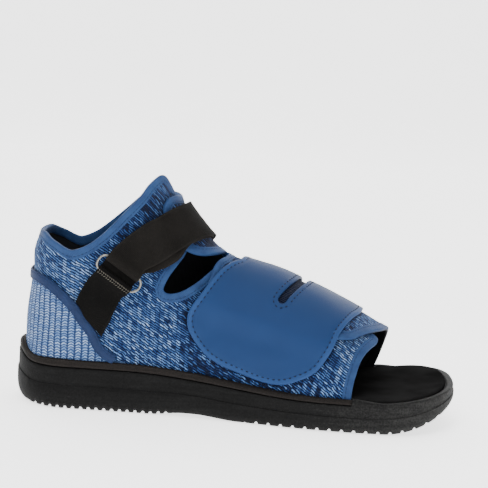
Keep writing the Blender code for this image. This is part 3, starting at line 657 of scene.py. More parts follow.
# %% Outlines
VAMP_FRONT = ((77, 1.32), (66, 1.28), (56, 1.23), (45, 1.12), (36, 0.99), (28, 0.87), (21, 0.88), (17, 1.10))
VAMP_TOP = ((19, 1.7), (22, 3.0), (24, 4.4))
THROAT = ((28, 5.30), (36, 5.45), (45, 5.63), (53, 5.84), (59, 6.05), (63, 6.30), (63.5, 6.52), (60, 6.60),
          (54, 6.63), (45, 6.60), (36, 6.58), (28, 6.72), (22, 7.1))
INSTEP_FRONT = ((15, 7.9), (9, 8.8))
COLLAR = ((3, 9.7), (3, 10.5), (9, 11.3), (16, 12.0), (23, 12.36), (31, 12.42), (44, 12.27), (55, 11.87),
          (74, 11.39), (89, 11.05), (98, 11.03), (109, 11.20), (115, 11.48), (126, 12.05), (148, 12.75),
          (164, 12.95), (180, 13.0), (196, 12.95), (212, 12.75), (234, 12.05), (245, 11.48), (251, 11.20),
          (262, 11.03), (271, 11.05), (286, 11.25), (300, 11.45), (314, 11.35))
FLAPS = ((328, 10.9), (342, 10.3), (354, 9.95), (366, 10.0), (376, 10.35), (385, 10.55), (393, 10.35),
         (396, 9.9), (396, 9.0), (396, 7.9), (395.5, 7.1), (394, 6.55), (389, 6.02), (382, 5.68), (372, 5.36),
         (361, 5.14), (354, 5.08), (350, 5.02), (354, 4.93), (361, 4.93), (371, 5.06), (380, 5.26),
         (389, 5.35), (399, 5.33), (406, 5.32), (411, 5.26))
FLAP_SIDE = ((412, 4.4), (411, 3.2))
FLAP_FRONT = ((410, 1.85), (403.5, 1.52), (396, 1.34), (386, 1.14), (376, 0.92), (364, 0.70), (350, 0.52),
              (335, 0.40), (320, 0.34), (305, 0.34), (290, 0.40), (282, 0.46))
COUNTER_SIDE = ((96, 7.05), (94.5, 7.60), (97.5, 8.30), (106, 9.18), (115.5, 9.93), (128, 10.45), (146, 10.85),
                (164, 11.05))
COUNTER_SEAM = (*COUNTER_SIDE, (180, 11.1), *((360 - around, row) for around, row in reversed(COUNTER_SIDE)))
PANEL = ((9, 4.38), (20, 4.78), (32, 5.10), (45, 5.32), (56, 5.47), (63, 5.56), (69, 5.57), (74, 5.48),
         (78, 5.32), (82, 5.08), (85.5, 4.80), (87.5, 4.50), (88.5, 4.20), (89, 3.90), (89.3, 3.60),
         (89.3, 3.30), (88.8, 3.00), (87, 2.70), (84, 2.48), (80, 2.26), (74, 2.06), (65, 1.91), (56, 1.81),
         (44, 1.73), (32, 1.61), (20, 1.49), (7, 1.36), (-10, 1.28), (-30, 1.30), (-50, 1.45), (-66, 1.62),
         (-70, 1.90), (-71, 2.60), (-71, 3.30), (-70, 3.85), (-66, 4.15), (-50, 4.20), (-30, 4.18), (-10, 4.20))
PANEL_SLOT = ((37, 3.0), (17, 2.72), (0, 2.56), (-20, 2.46), (-36, 2.42))
SEAM_SPACING = 0.0016

HEM_RISE = 2 * GAP
HEM = hem_line(WALL, VAMP_FRONT[0][1], FLAP_FRONT[-1][1], lambda x: HEM_RISE)
VAMP_EDGE = walk((HEM[0], *VAMP_FRONT), SEAM_SPACING)
THROAT_EDGE = walk(THROAT, SEAM_SPACING)
COLLAR_EDGE = walk(COLLAR, SEAM_SPACING)
FLAPS_EDGE = walk(FLAPS, SEAM_SPACING)
TOE_EDGE = walk((*FLAP_FRONT, HEM[-1]), SEAM_SPACING)
COUNTER_LINE = walk((HEM[np.argmin(abs(HEM[:, 0] - 100))], *COUNTER_SEAM,
                     HEM[np.argmin(abs(HEM[:, 0] - 260))]), SEAM_SPACING)
VAMP_END = float(skin(HEM[:1])[0, 0] + 0.0009)
TOE_END = float(skin(HEM[-1:])[0, 0] + 0.0009)


def flap_lift(around):
    """The flaps ride over the lateral quarter, so their inner face is higher."""
    return FLAP_LIFT * smoothstep(295, 345, around)


print("hem has", len(HEM), "points")

# %% [markdown]
# ## The outsole
# The block is moulded foam rubber. It could be the CAD solid with a bump map, but its lugs show along the lower
# edge against the pale floor, so the tread belongs in the mesh: the outline is lofted up the side in rings, and the
# underside is a grid whose points sink where a groove runs.

# %% Tread


def tread(x, y, half):
    """Depth of the grooves: short slots between the edge lugs and shallow waves across the middle."""
    share = x / SOLE_LENGTH
    zone = smoothstep(0.03, 0.05, share) * (1 - smoothstep(0.34, 0.37, share)) + smoothstep(0.52, 0.54, share)
    pitch = np.where(share < 0.45, 0.65 * LUG_PITCH, LUG_PITCH)
    first = np.where(share < 0.45, 0.035, 0.525) * SOLE_LENGTH
    cell = (x - first) / pitch
    slot = 1 - smoothstep(0.0007, 0.0013, np.abs(cell - np.round(cell)) * pitch)
    edge = smoothstep(half - 0.0135, half - 0.0115, np.abs(y))
    crest = (x - first) / LUG_PITCH + 0.28 * np.sin(y / 0.0048)
    middle = 1 - smoothstep(0.0005, 0.0013, np.abs(crest - np.round(crest)) * LUG_PITCH)
    middle = middle * (1 - smoothstep(half - 0.0190, half - 0.0165, np.abs(y)))
    return zone * (slot * edge * LUG_DEPTH + middle * 0.45 * LUG_DEPTH)


# %% Outsole's side and top
STATIONS = 520
UNDER_INSET = 0.0075
# Share of the height and inset, up the side.
SOLE_SIDE = ((0.00, 0.0052), (0.025, 0.0036), (0.05, 0.0024), (0.10, 0.0014), (0.16, 0.0007), (0.25, 0.0002),
             (0.34, 0.0000), (0.575, 0.0000), (0.590, 0.0003), (0.600, SIDE_STEP))
# Inset and depth below the rim, both in depths of the groove, over the top edge.
SOLE_TOP = ((0, 1.9), (0.1, 1.1), (0.4, 0.4), (1.0, 0.0), (2.5, 0.0))
even = np.arange(STATIONS + 1) / STATIONS
stations = SOLE_LENGTH * (0.55 * even + 0.45 * (1 - np.cos(np.pi * even)) / 2)
count = 2 * len(stations) - 2
ring_x = sole_ring(stations, 0)[:, 0]
ring_half = np.abs(sole_ring(stations, 0)[:, 1])
ends = np.where(np.arange(count) >= len(stations), TOE_END, VAMP_END)


def sole_top(x):
    fade = 1 - smoothstep(ends, ends + 0.08 * SOLE_LENGTH, x)
    rim = RIM_HEIGHT + (rand_height(x) - RIM_HEIGHT) * fade
    return platform(x) + np.where(ring_x > ends, rim, 0)


def sole_level(inset, height):
    ring = sole_ring(stations, inset)
    return np.column_stack([ring, height(ring[:, 0])])


under = sole_level(UNDER_INSET, sole_bottom)
rings = [under]
for share, inset in SOLE_SIDE:
    ring = sole_level(inset, lambda x, s=share: sole_bottom(x) * (1 - s) + platform(x) * s)
    rise = tread(ring[:, 0], ring_half, ring_half) * (1 - smoothstep(0.08, 0.15, share))
    rings.append(ring + rise[:, None] * (0, 0, 1))
rings[0] = rings[0] + tread(under[:, 0], ring_half - UNDER_INSET, ring_half)[:, None] * (0, 0, 1)
over_edge = [(SIDE_STEP + inset * GROOVE, drop) for inset, drop in SOLE_TOP]
for inset, drop in (*over_edge, (RIM_WIDTH - 0.0006, 0.0), (RIM_WIDTH - 0.0002, 0.2)):
    rings.append(sole_level(inset, lambda x, d=drop: sole_top(x) - d * GROOVE))
rings.append(sole_level(RIM_WIDTH + GAP, platform))
vertices, faces = loft(rings, caps=False)
top_start = (len(rings) - 1) * count
faces += [[top_start + k for k in dict.fromkeys((i, i + 1, (count - i - 1) % count, (count - i) % count))]
          for i in range(count // 2)]
print("the sole's side has", len(rings), "rings of", count, "points")

# %% Outsole's underside
UNDER_COLUMNS = 40
rows = [[0]]
under_points = []
for i in range(1, len(stations) - 1):
    a, b = rings[0][i], rings[0][(count - i) % count]
    share = np.linspace(0, 1, UNDER_COLUMNS + 1)[1:-1, None]
    line = a * (1 - share) + b * share
    half = np.maximum(ring_half[i], 0.001)
    line[:, 2] = sole_bottom(line[:, 0]) + tread(line[:, 0], line[:, 1], half)
    first = len(vertices) + len(under_points)
    rows.append([i, *range(first, first + len(line)), count - i])
    under_points.extend(line)
rows.append([len(stations) - 1])
for here, there in zip(rows, rows[1:]):
    if len(here) == 1 or len(there) == 1:
        wide, tip = (there, here[0]) if len(here) == 1 else (here, there[0])
        faces += [(tip, a, b) for a, b in zip(wide, wide[1:])]
    else:
        faces += [(here[k], here[k + 1], there[k + 1], there[k]) for k in range(UNDER_COLUMNS)]
outsole_mesh = (np.concatenate([vertices, under_points]), faces)
print("its underside has", len(under_points), "points")

# %% [markdown]
# ### Foam rubber
# Moulded foam is nearly black with a soft pebble from the mould. Its colour grows lighter towards the toe, a painted
# highlight for the pale light that the rising toe catches on its upward slopes. A glossy black would look like
# plastic; a high roughness with a fine bump keeps it foam.

# %% Foam rubber
foam = Finish("sole_foam", 0.7, 0.1)
pebble = foam.noise(0.0011, 3.0)
streak = foam.noise(0.006, 2.0, (0.25, 1, 3))
# Lighter towards the toe: a painted highlight for the light that the toe's upward slope catches.
toe_highlight = clipped((foam.node("SeparateXYZ", inputs={0: foam.node("TexCoord", output=3)}) - 0.10) * 7)
foam.colour(foam.ramp(pebble * 0.5 + streak * 0.3 + toe_highlight * 0.32, (0.28, srgb("060606")), (0.52, srgb("121212")),
                      (0.90, srgb("333332"))))
foam.relief(pebble, 0.0004, 0.7)
piece("outsole_block", outsole_mesh, foam, ["outsole"], sharp=40)

# %% [markdown]
# ## The rand
# A rubber strip covers the joint between knit and sole. It ends in a thin lip on the cloth, and the groove under it
# draws the dark line along the whole side. Its ring is lofted round the foot from hem lines at two heights.

# %% Rand
RAND_LIFT = WALL + 0.0005 + GAP
LIP_WIDTH = 0.0016
# Inset and height in depths of the groove, and height in shares of the rand's own height.
RAND_SECTION = ((2.0, 0.34, 0), (0.9, 0.55, 0), (0.3, 1.0, 0), (0.25, 0.6, 0.30), (0.6, 0, 0.55), (1.2, 0, 0.80))
front_rows = VAMP_FRONT[0][1] - 0.02, FLAP_FRONT[-1][1] - 0.02
inner_low, inner_high = (bare(hem_line(RAND_LIFT, *front_rows, rise), RAND_LIFT)
                         for rise in (lambda x: GAP, rand_height))
fine = SOLE_LENGTH * (1 - np.cos(np.pi * np.linspace(0, 1, 2400))) / 2
edge = sole_ring(fine, 0)
side = sole_ring(fine, 1) - edge
near = np.array([np.argmin(((p - edge) ** 2).sum(1)) for p in inner_low[:, :2]])


def rand_ring(inset, groove, share):
    spot = edge[near] + side[near] * (SIDE_STEP + inset * GROOVE)
    height = platform(spot[:, 0]) + groove * GROOVE + share * rand_height(spot[:, 0])
    return np.column_stack([spot, height])


outside = [rand_ring(*row) for row in RAND_SECTION]
lip = inner_high - np.column_stack([side[near] * LIP_WIDTH, np.full(len(near), 2 * GAP)])
outside[-1] = (outside[-1] + lip) / 2
rounded = lip * 0.35 + inner_high * 0.65 + (0, 0, 0.9 * GAP)
rubber = Finish("rand_rubber", 0.65, 0.1)
grain = rubber.noise(0.0009, 3.0)
rubber.shades(grain, 0.3, "100e0d", 0.7, "201c1a")
rubber.relief(grain, 0.0003, 0.5)
rings = np.stack([inner_low, *outside, lip, rounded, inner_high], 1)
piece("rand_strip", loft(list(rings)), rubber, ["rand"], sharp=55)

# %% [markdown]
# ## The insole
# The footbed is a flat die-cut sheet that lies inside the rim. Its edge is rolled, and the forefoot shows it bare.
# It is triangulated like the cloth, with lines inside its outline that carry the roll.

# %% Insole
INSOLE_THICKNESS = 0.0030
INSOLE_EDGE = 0.0012
INSOLE_ROLL = 0.0017
TRAY_POINTS = 131
insole_lift = -(BULGE + 3 * GAP)
foot_line = hem_line(insole_lift, VAMP_FRONT[0][1] + 0.02, FLAP_FRONT[-1][1] + 0.02, lambda x: HEM_RISE, (40, 50, 44))
foot_plan = bare(foot_line, insole_lift)[:, :2]
tray_x = SOLE_LENGTH * (1 - np.cos(np.pi * np.linspace(0, 1, TRAY_POINTS))) / 2
tray = sole_ring(tray_x, RIM_WIDTH + 3 * GAP)
tray_ends = np.where(np.arange(len(tray)) < TRAY_POINTS, VAMP_END, TOE_END) + 0.004
insole_plan = np.concatenate([tray[tray[:, 0] > tray_ends], foot_plan[::-1]])
plan_scale = 1 / PATTERN_SCALE
corners, triangles = triangulated(insole_plan * plan_scale, 0.0032,
                                  lines=[inset_plan(insole_plan, d) * plan_scale for d in (0.0007, INSOLE_ROLL)])
flat = corners / plan_scale
off_edge = nearest(flat, insole_plan)
base = platform(flat[:, 0]) + 2 * GAP
crown = 0.0004 * np.sin(flat[:, 0] / 0.021) * np.cos(flat[:, 1] / 0.03)
top = (base + INSOLE_EDGE + (INSOLE_THICKNESS - INSOLE_EDGE) * rolled_edge(off_edge, INSOLE_ROLL)
       + crown * smoothstep(0.004, 0.02, off_edge))
footbed = Finish("footbed", 0.7, 0.0)
rubbed = footbed.noise(0.03, 2.0)
footbed.shades(rubbed, 0.35, "131313", 0.7, "212121")
footbed.feed(footbed.shader.inputs["Roughness"], 0.6 + rubbed * 0.2)
footbed.relief(footbed.noise(0.0007, 4.0), 0.0002, 0.5)
piece("insole_sheet", slab(triangles, *(np.column_stack([flat, level]) for level in (base, top))), footbed,
      ["insole"], sharp=60)

# %% [markdown]
# ## The knit
# The upper is melange knit: light, mid and navy yarns change from stitch to stitch. Real loops by the thousand
# would be a huge mesh, and a plain noise would show no columns. So each vertex keeps two distances along the
# cloth, along the foot and up the leg, and the finish builds slanted stitches from them; the mesh itself carries
# the ribs of the heel counter and the creases.

# %% Distances along the cloth
HEEL_CENTRE = 0.036
HEEL_RADIUS = 0.033


def cloth_thread(places):
    """Millimetres along the foot, round the heel, and up the cloth."""
    x, y, z = places.T
    behind = np.minimum(x - HEEL_CENTRE, 0)
    angle = np.arctan2(-behind, np.abs(y))
    lean = 0.34 * smoothstep(0.150, 0.225, x)
    along = np.maximum(x - HEEL_CENTRE, 0) - HEEL_RADIUS * angle - lean * (z - 0.02)
    up = z - np.hypot(behind, y) + 0.25 * np.abs(y) * smoothstep(0.150, 0.225, x)
    return np.stack([along, up, np.zeros(len(x))], 1) * 1000


def bound(line):
    """The knit's own edge behind a binding."""
    return slid(line, -(BINDING_WIDTH - 0.0006))


COUNTER_STEP = 0.0005
RIB = 4.5
RIB_SWELL = 0.00018
LINING_TOP = 0.0006
upper_outline = np.concatenate([
    bound(VAMP_EDGE), walk(VAMP_TOP, 0.004), bound(THROAT_EDGE), walk(INSTEP_FRONT, 0.004),
    bound(COLLAR_EDGE), bound(FLAPS_EDGE), walk(FLAP_SIDE, 0.004), bound(TOE_EDGE),
    spaced(HEM, 0.002)[::-1][1:-1]])
counter_hem = HEM[(HEM[:, 0] > COUNTER_LINE[0, 0]) & (HEM[:, 0] < COUNTER_LINE[-1, 0])]
print("the knit's outline has", len(upper_outline), "points")

# %% Knit mesh
corners, triangles = triangulated(upper_outline, 0.00105)
places = skin(corners)
thread = cloth_thread(places)
on_counter = inside(corners, np.concatenate([COUNTER_LINE, counter_hem[::-1]])).astype(float)
ribs = COUNTER_STEP + RIB_SWELL * np.cos(TURN * thread[:, 0] / RIB)
swell = 0.00012 * np.sin(thread[:, 0] / 5.3) * np.sin(thread[:, 1] / 7.1)
ride_up = flap_lift(corners[:, 0])
low, high = lifted(corners, ride_up + LINING_TOP), lifted(corners, ride_up + WALL + on_counter * ribs + swell)

# %% [markdown]
# ### Lighter and darker knit, and painted shade
# The knit is lighter at the heel and on the low side, and darker at the waist and the high front. What the panel
# covers is darker still: that is painted shade, standing for the shade the panel casts on the knit under it. Painting
# that on an image would need an unwrapped mesh; a tone kept at each vertex needs none.

# %% Tone of the knit, with painted shade under the panel
panel_area = walk((*PANEL, PANEL[0]), 0.004)
# The knit that the panel covers is darkened in the tone below: painted shade under the panel.
under_panel_shade = inside(corners, panel_area) | inside(corners - (360, 0), panel_area)
x, z = places[:, 0], places[:, 2]
low_down = 1 - smoothstep(0.055, 0.105, z)
front = smoothstep(0.150, 0.225, x)
high_front = smoothstep(0.085, 0.120, z) * smoothstep(0.045, 0.080, x)
waist = smoothstep(0.100, 0.116, x) * (1 - smoothstep(0.190, 0.220, x))
heel = 1 - smoothstep(0.040, 0.070, x)
bands = np.sin(thread[:, 0] * TURN / 5.4 + 0.8 * np.sin(thread[:, 1] / 9))
tone = (0.45 + 0.10 * low_down * (1 - front) + 0.16 * front * (corners[:, 0] < 100) - 0.18 * high_front
        - 0.26 * waist + 0.24 * on_counter + 0.10 * bands * low_down + 0.08 * heel - 0.5 * under_panel_shade)
knit_mesh = slab(triangles, low, high, thread=thread, tone=tone, counter=on_counter)
print("tone runs from", round(tone.min(), 2), "to", round(tone.max(), 2))

# %% [markdown]
# ### Stitches in the finish
# Each stitch is a cell of the two distances, `WALE` wide and `COURSE` high, whose place slants from side to side of
# its column. A fixed random number per cell picks its yarn from a ramp of the melange's blues.

# %% Knit finish
WALE = 2.9
COURSE = 1.75
SLANT = 1.2
NAVY, DEEP, MID, LIGHT, PALE = (srgb(c) for c in ("030d26", "183467", "3a619b", "6d93ca", "a3bee8"))
knit = Finish("melange_knit", 0.9, 0.1, sheen_weight=0.06, sheen_roughness=0.5)
along, up = knit.thread()
along = along + (knit.noise(0.010, 1.0) - 0.5) * 1.3
counter = knit.stored("counter")
column_place = along / (counter * (RIB - WALE) + WALE)
column = column_place.math("FLOOR")
across = column_place - column - 0.5
lean = across * (1 - counter) + abs(across) * counter
stitch_place = up / COURSE + lean * SLANT + (knit.noise(0.0035, 1.0) - 0.5) * 1.1
stitch = stitch_place.math("FLOOR")
through = stitch_place - stitch - 0.5
strand = clipped(1.25 - abs(through) * 3.4) * clipped(2.0 - abs(across) * 3.2)
# rib marks the valleys between the counter's ribs; their darker colour below is painted shade in those valleys.
rib = clipped(abs(across) * 7 - 2.1) * counter

# %% Yarn colours
yarn = knit.chance(column, stitch, 1.0)
patch = knit.noise(0.007, 2.0)
# The stored tone carries the knit's lighter and darker zones and the painted shade under the panel.
shade = (yarn - 0.5) * 0.6 + knit.stored("tone") + (patch - 0.5) * 0.4 + 0.01
cloth = knit.ramp(shade, (0.04, NAVY), (0.26, DEEP), (0.48, MID), (0.72, LIGHT), (1.0, PALE))
cloth = knit.blend(counter * 0.35, cloth, srgb("7f94b8"))
gap_colour = knit.blend(counter * 0.7, NAVY, srgb("3a5480"))
shaded = knit.blend(1 - strand, cloth, gap_colour)
# Darker colour in the counter's rib valleys: painted shade.
knit.colour(knit.blend(rib * 0.85, shaded, srgb("14264a")))
knit.relief(strand * 0.85 + knit.noise(0.0005, 3.0) * 0.15 - rib * 0.4, 0.0010, 0.8)
piece("knit_upper", knit_mesh, knit, ["upper"])

# %% [markdown]
# ## The lining
# Behind the knit lies a thin dark tricot. It is the first thing seen through the open collar and toe, so it is a
# sheet of its own, coarser because it has no stitches to show.

# %% Lining
corners, triangles = triangulated(upper_outline, 0.0030)
ride_up = flap_lift(corners[:, 0])
lining_mesh = slab(triangles, lifted(corners, ride_up), lifted(corners, ride_up + LINING_TOP - 0.0001),
                   thread=cloth_thread(skin(corners)))
tricot = Finish("lining_tricot", 0.9, 0.1, sheen_weight=0.1)
ridge = wave(tricot.thread()[0] * (TURN / 0.9))
tricot.shades(ridge * 0.5 + tricot.noise(0.004) * 0.5, 0.2, "08090c", 0.8, "15171d")
tricot.relief(ridge, 0.0002, 0.6)
piece("lining", lining_mesh, tricot, [])

# %% [markdown]
# ## Edge tapes
# Every raw edge is wrapped in folded tape. Its section is a flat U that holds the cloth, swept along the edge with
# a little swell that repeats from stitch to stitch. Sweeping in pattern space keeps both legs on the cloth, which
# a curve with a bevel would not do.

# %% Tapes swept along a line


def swept(line, places, levels, way=1):
    """A tape along a pattern line, from its section's sideways places and their heights over the last."""
    rings = [lifted(slid(line, place * way), level) for place, level in zip(places, levels)]
    return woven(loft(list(np.stack(rings, 1))), reach_of(skin(line)), places)


def tape_finish(name, dark, light):
    tape = Finish(name, 0.66, 0.2)
    along, across = tape.thread()
    weave = wave(along * (TURN / 0.8) + across * 3.0) * 0.6 + wave(across * (TURN / 0.55)) * 0.4
    worn = tape.noise(0.008, 3.0)
    blue = tape.ramp(weave * 0.35 + worn * 0.65, (0.25, srgb(dark)), (0.75, srgb(light)))
    # Where the toe binding's inner leg is marked, the tape is blended to near black: painted shade on that leg.
    tape.colour(tape.blend(tape.stored("lined"), blue, srgb("0a0b0e")))
    tape.relief(weave, 0.00022, 0.7)
    return tape


tape = tape_finish("edge_tape", "142a50", "26446f")
print("edge tape is", BINDING_WIDTH * 1000, "mm wide once folded")

# %% Bindings
# Place across the binding from the raw edge, and height: 1 is the top of the cloth, 0 its underside.
BINDING_SECTION = (
    (0.000, 0.50), (0.012, 0.82), (0.050, 1.05), (0.110, 1.16), (0.210, 1.20), (0.330, 1.20), (0.450, 1.17),
    (0.560, 1.15), (0.640, 1.09), (0.680, 1.03), (0.720, 1.09), (0.790, 1.13), (0.880, 1.12), (0.960, 1.04),
    (1.000, 0.90), (1.000, -0.02), (0.960, -0.12), (0.700, -0.14), (0.400, -0.14), (0.120, -0.12),
    (0.045, -0.02), (0.012, 0.20))
SEAM_SHARE = 0.68


def binding(place, line):
    """A folded tape over the raw edge that runs along the line, with the cloth on the left of its way."""
    reach = reach_of(skin(line))
    ripple = 1 + 0.035 * np.sin(reach / 0.0031) + 0.03 * np.sin(reach / 0.0093 + 1)
    lift = flap_lift(line[:, 0])
    across, heights = np.array(BINDING_SECTION).T
    swell = np.where(heights > 1, (heights - 1) / 0.17, np.minimum(heights, 0) / 0.14) * BULGE
    levels = [lift + np.clip(h, 0, 1) * WALL + s * (ripple if h > 1 else 1) for h, s in zip(heights, swell)]
    vertices, faces, stored = swept(line, across * BINDING_WIDTH, levels, -1)
    # Marks the toe binding's inner leg for painted shade in the tape's finish.
    stored["lined"] = np.r_[np.tile((heights < 0.3) & (place == "toe"), len(line)), False, False]
    piece(place + "_edge_tape", (vertices, faces, stored), tape, [place + "_binding"], sharp=75)
    return slid(line, -SEAM_SHARE * BINDING_WIDTH), lift + WALL + BULGE * 0.3


binding_seams = [binding(place, line) for place, line in (
    ("vamp", VAMP_EDGE), ("throat", THROAT_EDGE), ("collar", COLLAR_EDGE), ("flap", FLAPS_EDGE), ("toe", TOE_EDGE))]

# %% [markdown]
# ### Sewing
# Thread shows as a row of short plump dashes that dip into the cloth at each end. A dashed bump would vanish at an
# edge, so each stitch is a small tapered tube, laid on the same pattern lines as its seam.

# %% Stitches
STITCH_SWELL = (0.35, 0.85, 1.0, 1.0, 0.85, 0.35)
STITCH_RISE = (-0.5, 0.2, 0.45, 0.45, 0.2, -0.5)


def round_ring(centre, radius, beside, up, sides):
    turn = np.linspace(0, TURN, sides, endpoint=False)
    return centre + radius * (np.outer(np.cos(turn), beside) + np.outer(np.sin(turn), up))


def joined(meshes):
    """Several meshes as one."""
    starts = np.cumsum([0] + [len(vertices) for vertices, _ in meshes])
    faces = [tuple(k + start for k in face) for (_, fans), start in zip(meshes, starts) for face in fans]
    return np.concatenate([vertices for vertices, _ in meshes]), faces


def stitches(name, lines, length, gap, radius, finish, slot):
    """Rows of sewing stitches: each line is its pattern points and their height over the last."""
    sewn = []
    for points, height in lines:
        spots = lifted(points, height)
        reach = reach_of(spots)
        normals = outward(points)
        for start in np.arange(gap, reach[-1] - length, length + gap):
            at = np.linspace(start, start + length, len(STITCH_RISE))
            line = np.stack([np.interp(at, reach, spots[:, k]) for k in range(3)], 1)
            up = np.array([np.interp(start, reach, normals[:, k]) for k in range(3)])
            way = unit(line[-1] - line[0])
            beside = np.cross(way, up)
            up = np.cross(beside, way)
            sewn.append(loft([round_ring(spot + up * radius * rise, radius * swell, beside, up, 8)
                              for spot, rise, swell in zip(line, STITCH_RISE, STITCH_SWELL)]))
    piece(name, joined(sewn), finish, [], sharp=80)


def thread_finish(name, dark, light, roughness=0.6, grain=0.0005):
    thread = Finish(name, roughness)
    thread.shades(thread.noise(grain), 0.3, dark, 0.7, light)
    return thread


TAPE_STITCH = (0.0019, 0.0008, 0.00024)
blue_thread = thread_finish("blue_thread", "0c1b38", "1a3158")
stitches("edge_tape_stitches", binding_seams, *TAPE_STITCH, blue_thread, "tape")

# %% [markdown]
# ## The counter's tape
# A flat tape covers the seam between heel counter and quarters. It is swept like the bindings, with a low crown and
# a stitch line near each edge.

# %% Counter tape
TAPE_WIDTH = 0.0062
TAPE_THICKNESS = 0.0014
TAPE_SECTION = (
    (-0.50, 0.00), (-0.50, 0.40), (-0.485, 0.62), (-0.45, 0.80), (-0.40, 0.88), (-0.35, 0.86), (-0.32, 0.74),
    (-0.29, 0.86), (-0.20, 0.97), (0.0, 1.0), (0.20, 0.97), (0.29, 0.86), (0.32, 0.74), (0.35, 0.86),
    (0.40, 0.88), (0.45, 0.80), (0.485, 0.62), (0.50, 0.40), (0.50, 0.00))
tape_foot = WALL + COUNTER_STEP + GAP
spots = bare(COUNTER_LINE, tape_foot)
tape_line = COUNTER_LINE[spots[:, 2] > platform(spots[:, 0]) + rand_height(spots[:, 0]) + TAPE_WIDTH / 6]
across, heights = np.array(TAPE_SECTION).T
seam_tape = swept(tape_line, across * TAPE_WIDTH, tape_foot + heights * TAPE_THICKNESS)
counter_cloth = tape_finish("counter_tape_cloth", "0c1a38", "162b50")
piece("counter_seam_tape", seam_tape, counter_cloth, ["counter_tape"], sharp=75)
tape_seams = [(slid(tape_line, share * TAPE_WIDTH), tape_foot + 0.74 * TAPE_THICKNESS) for share in (-0.32, 0.32)]
stitches("counter_tape_stitches", tape_seams, *TAPE_STITCH, blue_thread, "tape")

# %% [markdown]
# ## The closure panel
# The broad blue panel is sewn to the medial side, runs over the forefoot and is pressed onto the lateral side. It is
# coated cloth, smooth with a satin shine, cut with rounded corners and a slot, and stitched all round. Lines inside
# its outline carry the rolled edge and the dip that the stitching pulls into it.

# %% Panel's lines
PANEL_THICKNESS = 0.0020
PANEL_ROLL = 0.0016
PANEL_MARGIN = 0.0034
SLOT_WIDTH = 0.0054
SLOT_MARGIN = 0.0028


def laid_foot(around, resting, start, end):
    """Underside of a piece that comes down from the flap, between two angles, onto the lateral quarter."""
    over_flap = flap_lift(around + 360) + WALL + BULGE + 2 * GAP
    return over_flap + (resting - over_flap) * smoothstep(start, end, around)


def panel_foot(around):
    return laid_foot(around, WALL + BULGE + GAP, 54, 72)


def closed(line):
    return np.concatenate([line, line[:1]])


def ring_of(line, width):
    """A closed outline round a line."""
    wide = [slid(line, width), slid(line, -width)[::-1]]
    caps = []
    for tip, side in ((line[-1], 0), (line[0], 1)):
        a, b = wide[side][-1], wide[1 - side][0]
        middle = (a + b) / 2
        out = tip - line[-4 if side == 0 else 3]
        out *= width / max(np.linalg.norm(skin((middle + out)[None]) - skin(middle[None])), 1e-9)
        turn = np.linspace(0, math.pi, 9)[1:-1, None]
        caps.append(middle + (a - middle) * np.cos(turn) + out * np.sin(turn))
    return np.concatenate([wide[0], caps[0], wide[1], caps[1]])


def off_curve(points, *lines):
    """Distance over the skin from the nearest of some closed pattern lines."""
    return nearest(skin(points), skin(np.concatenate([spaced(closed(line), 0.0005) for line in lines])), 0.02)


panel_line = walk((*PANEL, PANEL[0]), 0.0022)[:-1]
slot_middle = walk(PANEL_SLOT, 0.0022)
slot_line = ring_of(slot_middle, SLOT_WIDTH / 2)
inward = 1 if inside(slid(panel_line, 0.001)[:1], panel_line)[0] else -1
panel_lines = [slid(panel_line, inward * d) for d in (
    0.0003, 0.0008, PANEL_ROLL, PANEL_MARGIN, PANEL_MARGIN - 0.0009, PANEL_MARGIN + 0.0009)]
slot_lines = [ring_of(slot_middle, SLOT_WIDTH / 2 + d) for d in (0.0004, 0.0010, SLOT_MARGIN)]
seam_line, slot_seam = panel_lines[3], slot_lines[2]
print("the panel's stitching runs", round(reach_of(skin(closed(seam_line)))[-1] * 1000), "mm round it")

# %% Panel mesh
corners, triangles = triangulated(panel_line, 0.0016, [slot_line], [*panel_lines, *slot_lines])
edge_off = off_curve(corners, panel_line, slot_line)
pulled = np.exp(-(off_curve(corners, seam_line, slot_seam) / 0.0008) ** 2)
foot = panel_foot(corners[:, 0])
places = skin(corners)
soft = 0.00010 * np.sin(places[:, 0] / 0.017 + places[:, 2] / 0.023)
height = (PANEL_THICKNESS * (0.45 + 0.55 * rolled_edge(edge_off, PANEL_ROLL)) - 0.00045 * pulled
          + soft * smoothstep(0.004, 0.012, edge_off))
panel_mesh = slab(triangles, lifted(corners, foot), lifted(corners, foot + height), thread=cloth_thread(places),
                  rim=np.clip(off_curve(corners, panel_line) / PANEL_MARGIN, 0, 1))

# %% Panel finish
coated = Finish("coated_panel", 0.55, 0.1)
along, up = coated.thread()
weave = ((along + up) * (TURN / 0.7)).math("SINE") * ((along - up) * (TURN / 0.7)).math("SINE")
cloudy = coated.noise(0.02, 3.0)
face_blue = coated.ramp(cloudy, (0.2, srgb("162e54")), (0.8, srgb("183158")))
coated.colour(coated.blend(coated.stored("rim").math("LESS_THAN", 0.96) * 0.35, face_blue, srgb("2c4b7c")))
coated.feed(coated.shader.inputs["Roughness"], 0.46 + cloudy * 0.14)
coated.relief(weave * 0.5 + 0.5, 0.00006, 0.5)
piece("forefoot_panel", panel_mesh, coated, ["closure_panel"], sharp=70)
navy_thread = thread_finish("navy_thread", "060e20", "0d1b38", 0.65)
panel_seams = [(line, panel_foot(line[:, 0]) + PANEL_THICKNESS - 0.00050)
               for line in map(closed, (seam_line, slot_seam))]
stitches("panel_stitches", panel_seams, 0.0021, 0.0015, 0.00042, navy_thread, "panel")

# %% [markdown]
# ## Strap, tab and ring
# Two bands of webbing each fold round a bar of the ring. Near the ring the webbing is taut and straight, so it is
# laid out in the ring's own frame; further off it blends onto the cloth. Each band is one loft that runs in along
# its lower layer, round the bar and back on top, as the real band is threaded.

